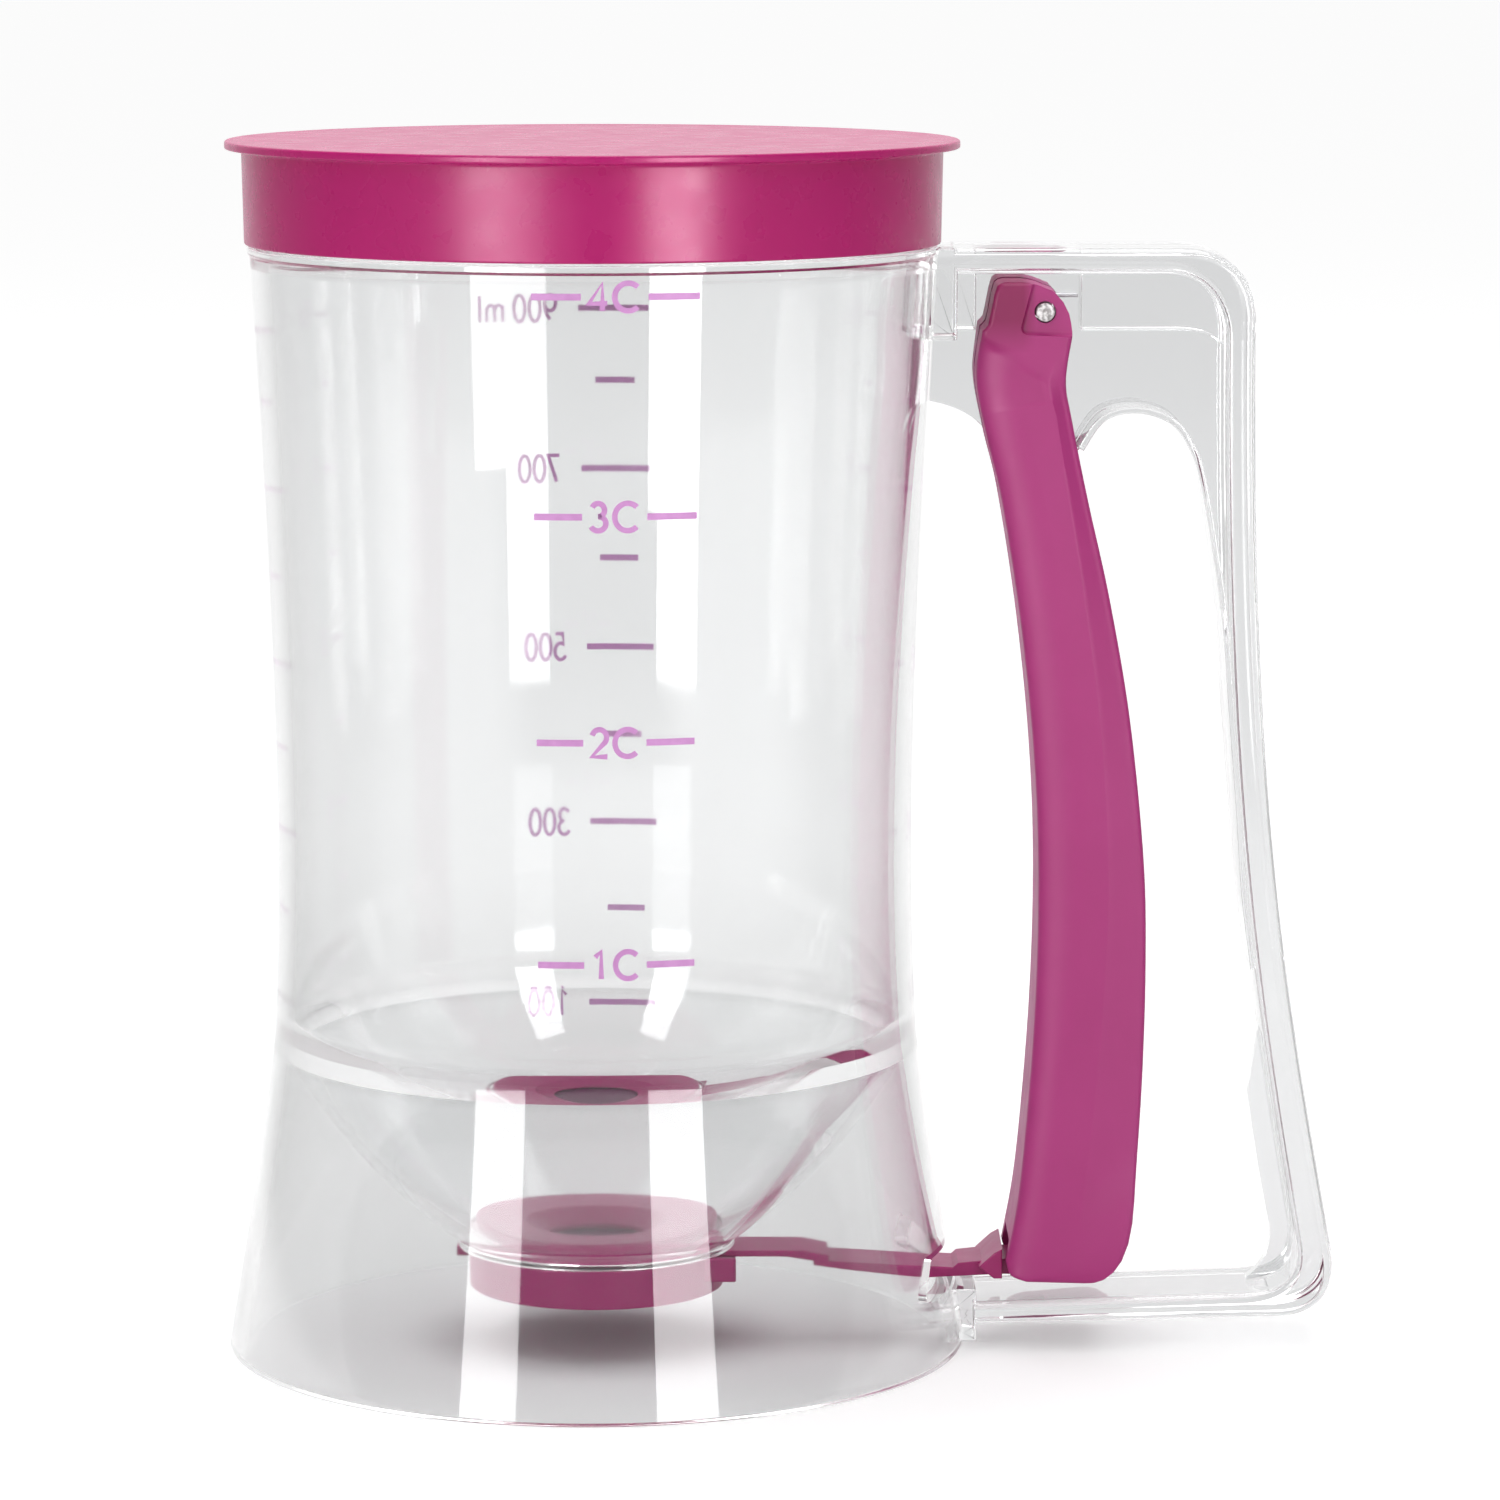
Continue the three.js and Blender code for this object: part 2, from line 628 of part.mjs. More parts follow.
addPart('jug', makeJug(), clearPlastic);
addPart('lid', makeLid(), purplePlastic);
addPart('handle_frame', makeFrame(), clearPlastic);
addPart('trigger_lever', makeLever(), purplePlastic);
addPart('valve_seat', makeSeat(), purplePlastic);
addPart('valve_cup', makeValveCup(), purplePlastic);
addPart('shutter_slide', makeShutter(), purplePlastic);
addPart('return_spring', makeSpring(), steel);
const pin = addPart('pivot_pin', makePin(), steel);
pin.position.set(PIVOT_X, 0, PIVOT_Z);

export default dispenser;
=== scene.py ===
"""The looks of a hand-held batter dispenser: a clear jug with its printed scales, a satin purple lid,
valve and squeeze lever, and a clear handle frame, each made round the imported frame.

Shapes are drawn in millimetres from the jug's own axis and placed in metres in the row's frame."""

import math

import bmesh
import bpy
from mathutils import Matrix, Vector


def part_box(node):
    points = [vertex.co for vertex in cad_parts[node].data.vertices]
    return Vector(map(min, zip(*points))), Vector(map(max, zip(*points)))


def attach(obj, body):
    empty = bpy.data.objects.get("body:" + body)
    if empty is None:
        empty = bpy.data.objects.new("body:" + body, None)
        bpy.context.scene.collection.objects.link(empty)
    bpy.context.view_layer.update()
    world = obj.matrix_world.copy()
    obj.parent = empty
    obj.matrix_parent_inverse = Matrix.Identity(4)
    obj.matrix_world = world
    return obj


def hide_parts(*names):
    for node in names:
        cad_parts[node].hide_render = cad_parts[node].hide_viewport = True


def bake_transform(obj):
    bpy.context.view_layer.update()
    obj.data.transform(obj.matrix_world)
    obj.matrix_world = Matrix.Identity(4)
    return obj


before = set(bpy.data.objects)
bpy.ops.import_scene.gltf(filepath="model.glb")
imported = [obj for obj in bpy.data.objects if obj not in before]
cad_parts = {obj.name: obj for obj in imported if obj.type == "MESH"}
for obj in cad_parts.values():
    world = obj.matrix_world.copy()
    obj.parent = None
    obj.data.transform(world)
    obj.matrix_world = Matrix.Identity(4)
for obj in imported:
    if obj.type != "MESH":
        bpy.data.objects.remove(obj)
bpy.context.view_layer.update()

MM = 0.001
lid_low, lid_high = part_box("lid")
AXIS_X = (lid_low[0] + lid_high[0]) / 2

# Jug
BASE_RADIUS = 58.4
WAIST_RADIUS = 49.9
WAIST_HEIGHT = 80
SHOULDER_RADIUS = 53.3
SHOULDER_HEIGHT = 172.6
NECK_RADIUS = 52
NECK_TOP = 188.5
WALL = 2.8
SKIRT_WALL = 2.6
FUNNEL_TOP = 50.5
PRINT_RADIUS = 51

# Handle frame
FRAME_HALF_WIDTH = 10
FRAME_TOP = 174
FRAME_OUT = 116.4
ROOT_X = 46
RIM_WALL = 1.05
FRAME_GAP = 0.3

# Lever and its pivot
PIVOT_X = 69.9
PIVOT_Z = 164.3
PIN_RADIUS = 1.42
LEVER_GAP = 0.25
LEVER_HALF_WIDTH = 12.2
LEVER_FRONT = [
    (60.2, 161.3), (59.4, 153.7), (61.1, 144.5), (63.4, 135), (66.4, 116.4), (68.6, 96),
    (69.5, 76), (69, 53), (67, 27.6), (64.8, 14.2),
]
LEVER_BACK = [
    (74.1, 160.5), (73.2, 153.7), (74.2, 147.5), (76.8, 135), (80.3, 119.5), (83.6, 100.7),
    (85.9, 79), (86.4, 62.7), (86, 43.6), (84.9, 24.4),
]

# Camera, read from the photograph
CAMERA_PLACE = (-0.00458, -0.95075, 0.23168)
CAMERA_PITCH = math.radians(8.208)
CAMERA_LENS = 146.4


# Drawing aids

def bow(start, pull_out, pull_in, end, steps):
    """Points along a curve drawn with two handles."""
    points = []
    for i in range(steps + 1):
        t = i / steps
        u = 1 - t
        weights = (u * u * u, 3 * u * u * t, 3 * u * t * t, t * t * t)
        points.append(tuple(
            sum(w * p[k] for w, p in zip(weights, (start, pull_out, pull_in, end))) for k in (0, 1)
        ))
    return points


def gliding(points, steps):
    """Points along an even spline through the drawn points."""
    last = len(points) - 1
    chain = []
    for i in range(steps + 1):
        place = i / steps * last
        k = min(int(place), last - 1)
        t = place - k
        before, here = points[max(k - 1, 0)], points[k]
        there, after = points[k + 1], points[min(k + 2, last)]
        spot = []
        for a, b, c, d in zip(before, here, there, after):
            v, w = (c - a) / 2, (d - b) / 2
            spot.append((2 * b - 2 * c + v + w) * t ** 3 + (3 * c - 3 * b - 2 * v - w) * t * t + v * t + b)
        chain.append(tuple(spot))
    return chain


def eased(corners, closed=True):
    """A chain whose corners are rounded by the third number that some of them carry."""
    steps = 4
    chain = []
    count = len(corners)
    for i, corner in enumerate(corners):
        radius = corner[2] if len(corner) > 2 else 0
        if not radius or (not closed and i in (0, count - 1)):
            chain.append(tuple(corner[:2]))
            continue
        here = Vector(corner[:2])
        back = Vector(corners[i - 1][:2]) - here
        on = Vector(corners[(i + 1) % count][:2]) - here
        half = back.angle(on) / 2
        reach = min(radius / math.tan(half), back.length * 0.49, on.length * 0.49)
        start, end = here + back.normalized() * reach, here + on.normalized() * reach
        for k in range(steps + 1):
            t = k / steps
            chain.append(tuple(start * (1 - t) ** 2 + here * (2 * t * (1 - t)) + end * t * t))
    return chain


def side_of(start, end):
    """The direction to the left of the way from one point to another."""
    along = (Vector(end) - Vector(start)).normalized()
    return Vector((-along.y, along.x))


def inset(chain, depth):
    """A closed counter-clockwise chain moved inwards."""
    moved = []
    for i, here in enumerate(chain):
        left, right = side_of(chain[i - 1], here), side_of(here, chain[(i + 1) % len(chain)])
        moved.append(Vector(here) + (left + right) * (depth / max(1 + left.dot(right), 0.35)))
    return moved


def tidy_chain(chain):
    """The chain without doubled points, turning counter-clockwise."""
    kept = [p for i, p in enumerate(chain) if (Vector(p) - Vector(chain[i - 1])).length > 1e-4]
    area = sum(a[0] * b[1] - b[0] * a[1] for a, b in zip(kept, kept[1:] + kept[:1]))
    return kept if area > 0 else kept[::-1]


def in_scene(name, data):
    made = bpy.data.objects.new(name, data)
    bpy.context.scene.collection.objects.link(made)
    return made


def new_object(name, points, edges=(), faces=()):
    """An object at the origin from points in metres."""
    mesh = bpy.data.meshes.new(name)
    mesh.from_pydata(points, edges, faces)
    return in_scene(name, mesh)


def line_object(name, points, closed=False):
    """An object of edges only, through points in metres."""
    count = len(points)
    return new_object(name, points, [(i, (i + 1) % count) for i in range(count if closed else count - 1)])


def face_outwards(made):
    work = bmesh.new()
    work.from_mesh(made.data)
    bmesh.ops.remove_doubles(work, verts=work.verts, dist=1e-7)
    bmesh.ops.recalc_face_normals(work, faces=work.faces)
    work.to_mesh(made.data)
    work.free()
    return made


def settle(made):
    """The modifiers' result becomes the plain mesh."""
    scene_graph = bpy.context.evaluated_depsgraph_get()
    mesh = bpy.data.meshes.new_from_object(made.evaluated_get(scene_graph))
    made.modifiers.clear()
    old = made.data
    made.data = mesh
    mesh.name = made.name
    bpy.data.meshes.remove(old)
    return made


def smoothed(made, angle=32):
    """Soft shading across the curves, crisp at the corners, with flats that stay flat."""
    made.data.shade_smooth()
    made.data.set_sharp_from_angle(angle=math.radians(angle))
    weighted = made.modifiers.new("flats", "WEIGHTED_NORMAL")
    weighted.keep_sharp = True
    return settle(made)


def combined(made, others, operation):
    """The piece with the others joined to it or cut from it."""
    for other in others:
        step = made.modifiers.new(other.name, "BOOLEAN")
        step.operation = operation
        step.solver = "MANIFOLD"
        step.object = other
    settle(made)
    for other in others:
        bpy.data.objects.remove(other)
    work = bmesh.new()
    work.from_mesh(made.data)
    bmesh.ops.remove_doubles(work, verts=work.verts, dist=2e-7)
    bmesh.ops.dissolve_degenerate(work, edges=work.edges, dist=1e-7)
    work.to_mesh(made.data)
    work.free()
    return made


def skinned(name, rings, plastic):
    """A closed piece from rings of as many points each, in millimetres about the jug's axis."""
    count = len(rings[0])
    points = [(AXIS_X + x * MM, y * MM, z * MM) for ring in rings for x, y, z in ring]
    faces = []
    for ring in range(len(rings) - 1):
        for i in range(count):
            a, b = ring * count + i, ring * count + (i + 1) % count
            faces.append((a, b, b + count, a + count))
    faces.append(tuple(range(count)))
    faces.append(tuple(range(len(points) - count, len(points))))
    made = new_object(name, points, faces=faces)
    made.data.materials.append(plastic)
    return face_outwards(made)


def slab(name, chain, low, high, plastic, edge=0, lying=False, steps=3):
    """A plate with round edges: an outline in X and Z between two values of Y, or lying, in X and Y
    between two values of Z."""
    chain = tidy_chain(chain)
    turns = [math.pi / 2 * k / steps for k in range(steps + 1)] if edge else [0]
    levels = [(edge * (1 - math.cos(turn)), low + edge * (1 - math.sin(turn))) for turn in reversed(turns)]
    levels += [(edge * (1 - math.cos(turn)), high - edge * (1 - math.sin(turn))) for turn in turns]
    rings = []
    for depth, level in levels:
        rings.append([(a, b, level) if lying else (a, level, b) for a, b in inset(chain, depth)])
    return skinned(name, rings, plastic)


def block(name, low, high, plastic, edge=0):
    """A box, with round edges all round where an edge is given."""
    (left, near, foot), (right, far, top) = low, high
    corners = [(left, foot, edge), (right, foot, edge), (right, top, edge), (left, top, edge)]
    return slab(name, eased(corners), near, far, plastic, edge)


def rod(name, radius, low, high, x, z, plastic):
    """A round rod along Y."""
    sides = 48
    turns = [2 * math.pi * k / sides for k in range(sides)]
    ring = [(x + radius * math.cos(turn), z + radius * math.sin(turn)) for turn in turns]
    return slab(name, ring, low, high, plastic)


# Node wiring

class Wiring:
    """Adds the nodes of one tree and links them. A value is a socket, or what the input is set to."""

    def __init__(self, tree):
        self.tree = tree
        self.keys = {}

    def feed(self, socket, value):
        if isinstance(value, bpy.types.NodeSocket):
            self.tree.links.new(value, socket)
        else:
            socket.default_value = value

    def add(self, kind, inputs=None, output=0, **settings):
        """One node with its settings made and its inputs fed. Gives one of its outputs."""
        node = self.tree.nodes.new(kind)
        for label, value in settings.items():
            setattr(node, label, value)
        for place, value in (inputs or {}).items():
            if value is not None:
                self.feed(node.inputs[place], value)
        return node.outputs[output]

    def coat(self, node, **values):
        """Feeds the inputs of a finish's node by their names."""
        for label, value in values.items():
            self.feed(node.inputs[label.replace("_", " ")], value)

    def show(self, shader):
        """The shader is what the surface shows."""
        self.feed(self.tree.nodes["Material Output"].inputs["Surface"], shader)

    def sum(self, operation, first, second=None):
        """One step of arithmetic."""
        return self.add("ShaderNodeMath", {0: first, 1: second}, operation=operation)

    def times(self, first, second):
        return self.sum("MULTIPLY", first, second)

    def above(self, value, limit):
        return self.sum("GREATER_THAN", value, limit)

    def below(self, value, limit):
        return self.sum("LESS_THAN", value, limit)

    def vector(self, operation, first, second=None, scale=None, output="Vector"):
        """One step of vector arithmetic."""
        inputs = {0: first, 1: second, "Scale": scale}
        return self.add("ShaderNodeVectorMath", inputs, output, operation=operation)

    def parts(self, vector):
        """The three numbers of a vector."""
        node = self.tree.nodes.new("ShaderNodeSeparateXYZ")
        self.feed(node.inputs[0], vector)
        return node.outputs

    def place(self, kind="Object"):
        """The point's own coordinates."""
        return self.add("ShaderNodeTexCoord", output=kind)

    def rays(self):
        """What is known of the ray."""
        return self.tree.nodes.new("ShaderNodeLightPath").outputs

    def spread(self, value, low, high, start=0.3, end=0.7, curve="LINEAR"):
        """A value carried from one range, by default that of noise, to another."""
        return self.add("ShaderNodeMapRange", {
            "Value": value, "From Min": start, "From Max": end, "To Min": low, "To Max": high,
        }, "Result", interpolation_type=curve)

    def ramp(self, value, start, end, low, high):
        """A value carried smoothly from one range to another."""
        return self.spread(value, low, high, start, end, "SMOOTHSTEP")

    def mix(self, share, first, second, blend="MIX"):
        """A colour between two, or their product."""
        first, second = ((*tone, 1) if isinstance(tone, tuple) else tone for tone in (first, second))
        inputs = {"Factor": share, "A": first, "B": second}
        return self.add("ShaderNodeMix", inputs, "Result", data_type="RGBA", blend_type=blend)

    def grain(self, scale, detail, stretch=(1, 1, 1)):
        """Noise on the piece's own coordinates."""
        mapped = self.add("ShaderNodeMapping", {"Vector": self.place(), "Scale": stretch}, "Vector")
        return self.add("ShaderNodeTexNoise", {"Vector": mapped, "Scale": scale, "Detail": detail}, "Fac")

    def bumps(self, *layers):
        """Stacked relief from (height, strength, depth in mm)."""
        normal = None
        for height, strength, depth in layers:
            normal = self.add("ShaderNodeBump", {
                "Height": height, "Strength": strength, "Distance": depth * MM, "Normal": normal,
            }, "Normal")
        return normal


# Finishes

def new_finish(name):
    finish = bpy.data.materials.new(name)
    finish.use_nodes = True
    return finish, Wiring(finish.node_tree), finish.node_tree.nodes["Principled BSDF"]


def about_axis(wires):
    """A point's three numbers from the foot of the jug's axis, and its distance from the axis."""
    moved = wires.vector("SUBTRACT", wires.place(), (AXIS_X, 0, 0))
    flat = wires.vector("MULTIPLY", moved, (1, 1, 0))
    return wires.parts(moved), wires.vector("LENGTH", flat, output="Value")


def mirrored_once(wires, rays):
    """Whether the ray has been mirrored once on its way."""
    return wires.times(wires.above(rays["Glossy Depth"], 0.5), wires.below(rays["Glossy Depth"], 1.5))


def painted_skirt_shade_and_funnel_light(wires):
    """A factor that paints shade on the skirt, a little darker than the cup, and paints light on the
    funnel's inside, a little brighter.
    """
    (_, _, height), radius = about_axis(wires)
    skirt_painted_shade, funnel_painted_light = -0.09, 0.19
    skirt = wires.times(wires.ramp(height, 0.049, 0.085, 1, 0), skirt_painted_shade)
    inside = wires.ramp(radius, 0.0475, 0.0485, funnel_painted_light, 0)
    under = wires.ramp(height, 0.049, 0.0505, 1, 0)
    return wires.sum("ADD", skirt, wires.times(inside, under))


def make_clear_moulding(name, tint, shade, haze, ripple, painted_light_zones=False):
    """Clear glossy moulded plastic with faint flow ripples. Lamps shine through it softly, and light that
    is caught inside a wall leaves it after two mirrorings, so that thick joints don't turn black."""
    finish, wires, surface = new_finish(name)
    cloudy = wires.spread(wires.grain(18, 3), 0, 1)
    colour = wires.mix(cloudy, tint, tuple(c * 0.975 for c in tint))
    # Painted light: the jug's skirt is painted a little darker and the inside of its funnel a little
    # lighter.
    if painted_light_zones:
        colour = wires.vector("SCALE", colour, scale=wires.sum("ADD", painted_skirt_shade_and_funnel_light(wires), 1))
    flow, fine = wires.grain(26, 2, (1, 1, 0.35)), wires.grain(420, 2)
    wires.coat(
        surface, Base_Color=colour, Roughness=wires.spread(wires.grain(60, 4), haze, haze + 0.05),
        IOR=1.57, Transmission_Weight=1, Normal=wires.bumps((flow, ripple, 0.5), (fine, 0.02, 0.05)),
    )
    rays = wires.rays()
    shadow = rays["Is Shadow Ray"]
    passed = wires.mix(shadow, (0.98, 0.98, 0.98), shade)
    through = wires.add("ShaderNodeBsdfTransparent", {"Color": passed})
    passing = wires.sum("MAXIMUM", shadow, wires.above(rays["Glossy Depth"], 1.5))
    wires.show(wires.add("ShaderNodeMixShader", {"Fac": passing, 1: surface.outputs["BSDF"], 2: through}))
    return finish


def make_purple_satin(name, tone, deep, rough, shine, painted_shade=None):
    """Satin moulded plastic with a drifting tone and a fine grain. Painted shade is given as a tone and
    then
    spans of (axis, start, end): the plastic is painted darker, as shade, where the spans have all been
    crossed."""
    finish, wires, surface = new_finish(name)
    colour = wires.mix(wires.spread(wires.grain(35, 4), 0, 1), tone, deep)
    # Painted shade: past the spans the colour is multiplied by the darker tone.
    if painted_shade:
        painted_shade_tone, *spans = painted_shade
        parts = wires.parts(wires.place())
        share = 1
        for axis, start, end in spans:
            share = wires.times(wires.spread(parts[axis], 0, 1, start, end), share)
        colour = wires.mix(share, colour, painted_shade_tone, "MULTIPLY")
    sink, skin = wires.grain(40, 2), wires.grain(1500, 3)
    wires.coat(
        surface, Base_Color=colour, Roughness=wires.spread(wires.grain(240, 4), rough, rough + 0.07),
        IOR=1.5, Specular_IOR_Level=shine, Normal=wires.bumps((sink, 0.05, 0.4), (skin, 0.04, 0.05)),
    )
    return finish


def make_spring_steel():
    """Drawn wire with faint lengthwise streaks."""
    finish, wires, surface = new_finish("drawn_spring_steel")
    streaks = wires.grain(900, 3, (1, 0.15, 1))
    colour = wires.mix(wires.spread(streaks, 0, 1), (0.5, 0.5, 0.51), (0.62, 0.62, 0.64))
    wires.coat(surface, Base_Color=colour, Roughness=wires.spread(streaks, 0.25, 0.4), Metallic=1)
    return finish


def make_pin_steel():
    """The sheared end of a steel rod, pale and rough."""
    finish, wires, surface = new_finish("sheared_pin_steel")
    pits = wires.grain(1400, 5)
    colour = wires.mix(wires.spread(pits, 0, 1, 0.4, 0.6), (0.26, 0.24, 0.24), (0.72, 0.7, 0.7))
    rough, relief = wires.spread(pits, 0.35, 0.6), wires.bumps((pits, 0.7, 0.12))
    wires.coat(surface, Base_Color=colour, Roughness=rough, Metallic=0.3, Normal=relief)
    return finish


def make_scale_ink(name, tone, deep):
    """Screen-printed ink, slightly uneven."""
    finish, wires, surface = new_finish(name)
    colour = wires.mix(wires.spread(wires.grain(700, 4), 0, 1), tone, deep)
    relief = wires.bumps((wires.grain(2500, 2), 0.2, 0.02))
    wires.coat(surface, Base_Color=colour, Roughness=0.45, Normal=relief)
    return finish


clear_jug_plastic = make_clear_moulding(
    "clear_jug_plastic", (0.905, 0.91, 0.912), (0.93, 0.93, 0.935), 0.01, 0.1, painted_light_zones=True,
)
clear_frame_plastic = make_clear_moulding(
    "clear_frame_plastic", (0.74, 0.745, 0.75), (0.9, 0.9, 0.905), 0.02, 0.08,
)
lid_plastic = make_purple_satin(
    "purple_lid_plastic", (0.49, 0.006, 0.155), (0.46, 0.005, 0.142), 0.25, 0.3,
)
# The front of the lever's head is painted darker, as painted shade.
lever_plastic = make_purple_satin(
    "purple_lever_plastic", (0.48, 0.04, 0.225), (0.44, 0.033, 0.2), 0.42, 0.3,
    painted_shade=((0.6, 0.22, 0.44), ("Z", 0.158, 0.163), ("X", AXIS_X + 0.0685, AXIS_X + 0.0665)),
)
# The valve's purple is painted darker than the lid's, as shade for the dim inside of the jug.
VALVE_TONES_WITH_PAINTED_SHADE = ((0.4, 0.014, 0.155), (0.36, 0.012, 0.135))
valve_plastic = make_purple_satin("purple_valve_plastic", *VALVE_TONES_WITH_PAINTED_SHADE, 0.3, 0.35)
# The middle of the shutter's blade, seen through the seat's hole, is painted darker, as painted shade.
shutter_plastic = make_purple_satin(
    "purple_shutter_plastic", *VALVE_TONES_WITH_PAINTED_SHADE, 0.3, 0.35,
    painted_shade=((0.3, 0.5, 0.45), ("X", AXIS_X + 0.0125, AXIS_X + 0.009)),
)
spring_steel = make_spring_steel()
pin_steel = make_pin_steel()
front_ink = make_scale_ink("orchid_front_ink", (0.65, 0.28, 0.63), (0.58, 0.23, 0.56))
back_ink = make_scale_ink("orchid_back_ink", (0.67, 0.26, 0.64), (0.6, 0.22, 0.57))


# Geometry Nodes trees

def new_tree(name, output, **inputs):
    """An empty tree with named inputs; the names give the sockets' identifiers."""
    tree = bpy.data.node_groups.new(name, "GeometryNodeTree")
    wires = Wiring(tree)
    for label, kind in inputs.items():
        spaced = label.replace("_", " ")
        socket = tree.interface.new_socket(spaced, in_out="INPUT", socket_type="NodeSocket" + kind)
        wires.keys[label] = socket.identifier
    tree.interface.new_socket(output, in_out="OUTPUT", socket_type="NodeSocketGeometry")
    return wires, tree.nodes.new("NodeGroupInput").outputs


def finished_tree(wires, geometry, finish):
    """Every tree ends in Realize Instances and Set Material."""
    real = wires.add("GeometryNodeRealizeInstances", {0: geometry})
    coated = wires.add("GeometryNodeSetMaterial", {"Geometry": real, "Material": finish})
    wires.feed(wires.tree.nodes.new("NodeGroupOutput").inputs[0], coated)
    return wires


def swept(wires, along, section, caps=None):
    """The surface that the section makes along a curve."""
    inputs = {"Curve": along, "Profile Curve": section, "Fill Caps": caps}
    return wires.add("GeometryNodeCurveToMesh", inputs, "Mesh")


def ring_curve(wires, start, radius):
    inputs = {"Resolution": start["Sides"], "Radius": start[radius]}
    return wires.add("GeometryNodeCurvePrimitiveCircle", inputs, "Curve")


def make_turning_tree():
    """Turns a drawn wall profile about the axis: the profile rides round a ring."""
    wires, start = new_tree(
        "turn_wall_profile", "Turned wall",
        Profile="Geometry", Ring_radius="Float", Sides="Int", Plastic="Material",
    )
    ring = ring_curve(wires, start, "Ring radius")
    upright = wires.add("GeometryNodeSetCurveNormal", {"Curve": ring}, "Curve", mode="Z_UP")
    profile = wires.add("GeometryNodeMeshToCurve", {"Mesh": start["Profile"]}, "Curve")
    wall = swept(wires, upright, profile)
    weld = wires.add("GeometryNodeMergeByDistance", {"Geometry": wall, "Distance": 1e-6}, "Geometry")
    return finished_tree(wires, weld, start["Plastic"])


def make_winding_tree():
    """Sweeps a round wire along the drawn path."""
    wires, start = new_tree(
        "sweep_spring_wire", "Wire", Path="Geometry", Wire_radius="Float", Sides="Int", Steel="Material",
    )
    path = wires.add("GeometryNodeMeshToCurve", {"Mesh": start["Path"]}, "Curve")
    wire = swept(wires, path, ring_curve(wires, start, "Wire radius"), caps=True)
    return finished_tree(wires, wire, start["Steel"])


def make_dash_tree():
    """Sets one flat dash of ink on every point."""
    wires, start = new_tree(
        "scale_dashes", "Dashes", Places="Geometry",
        Dash_length="Float", Dash_height="Float", Ink_depth="Float", Ink="Material",
    )
    size = wires.add("ShaderNodeCombineXYZ", {
        "X": start["Dash length"], "Y": start["Ink depth"], "Z": start["Dash height"],
    })
    bar = wires.add("GeometryNodeMeshCube", {"Size": size, "Vertices X": 16}, "Mesh")
    places = wires.add("GeometryNodeMeshToPoints", {"Mesh": start["Places"]}, "Points")
    row = wires.add("GeometryNodeInstanceOnPoints", {"Points": places, "Instance": bar}, "Instances")
    return finished_tree(wires, row, start["Ink"])


def make_wrapping_tree():
    """Lays flat print on a round wall: each point is cast inwards on the wall and set out by its depth."""
    wires, start = new_tree(
        "wrap_print_on_wall", "Wrapped print", Print="Geometry", Wall="Object",
        Wall_radius="Float", Turn="Float", Axis_X="Float", Ink="Material",
    )
    outside = 0.2
    x, y, z = wires.parts(wires.add("GeometryNodeInputPosition"))
    angle = wires.sum("ADD", wires.sum("DIVIDE", x, start["Wall radius"]), start["Turn"])
    across, away = wires.sum("SINE", angle), wires.times(wires.sum("COSINE", angle), -1.0)
    inwards = wires.add("ShaderNodeCombineXYZ", {0: wires.times(across, -1.0), 1: wires.times(away, -1.0)})
    aside = wires.sum("ADD", wires.times(across, outside), start["Axis X"])
    source = wires.add("ShaderNodeCombineXYZ", {0: aside, 1: wires.times(away, outside), 2: z})
    wall = wires.add("GeometryNodeObjectInfo", {"Object": start["Wall"]}, "Geometry")
    hit = wires.add("GeometryNodeRaycast", {
        "Target Geometry": wall, "Source Position": source, "Ray Direction": inwards, "Ray Length": 1.0,
    }, "Hit Position")
    lift = wires.vector("SCALE", inwards, scale=wires.times(y, -1.0))
    laid = wires.add("GeometryNodeSetPosition", {
        "Geometry": start["Print"], "Position": wires.vector("ADD", hit, lift),
    }, "Geometry")
    return finished_tree(wires, laid, start["Ink"])


TURNING = make_turning_tree()
WINDING = make_winding_tree()
DASHES = make_dash_tree()
WRAPPING = make_wrapping_tree()


def with_tree(made, grown, **values):
    """Adds a tree to a piece with its named inputs set, before it is evaluated."""
    step = made.modifiers.new(grown.tree.name, "NODES")
    step.node_group = grown.tree
    for label, value in values.items():
        step[grown.keys[label]] = value


def turned(name, chain, plastic, closed=True, sides=192):
    """A turned piece from a chain of (radius, height)."""
    ring = 50
    chain = [p for i, p in enumerate(chain) if i == 0 or (Vector(p) - Vector(chain[i - 1])).length > 1e-4]
    points = [((radius - ring) * MM, -height * MM, 0) for radius, height in chain]
    made = line_object(name, points, closed)
    with_tree(made, TURNING, Ring_radius=ring * MM, Sides=sides, Plastic=plastic)
    settle(made)
    made.data.transform(Matrix.Translation((AXIS_X, 0, 0)))
    return face_outwards(made)


# Jug

SKIRT_OUTSIDE = [
    *bow((BASE_RADIUS, 0), (55.63, 17), (52.5, 33.5), (50.72, FUNNEL_TOP), 30),
    *bow((50.72, FUNNEL_TOP), (50.22, 59.5), (WAIST_RADIUS, 70), (WAIST_RADIUS, WAIST_HEIGHT), 14)[1:],
]
CUP_OUTSIDE = bow(
    (WAIST_RADIUS, WAIST_HEIGHT), (WAIST_RADIUS, WAIST_HEIGHT + 33.2),
    (SHOULDER_RADIUS - 0.4, SHOULDER_HEIGHT - 8), (SHOULDER_RADIUS, SHOULDER_HEIGHT), 30,
)
JUG_OUTSIDE = [
    (BASE_RADIUS, 0, 0.5), *SKIRT_OUTSIDE[1:], *CUP_OUTSIDE[1:], (53.7, 173, 0.15), (53.7, 174, 0.3),
]


def inward(points, thickness, low, high):
    return [(radius - thickness, height) for radius, height in points if low < height < high][::-1]


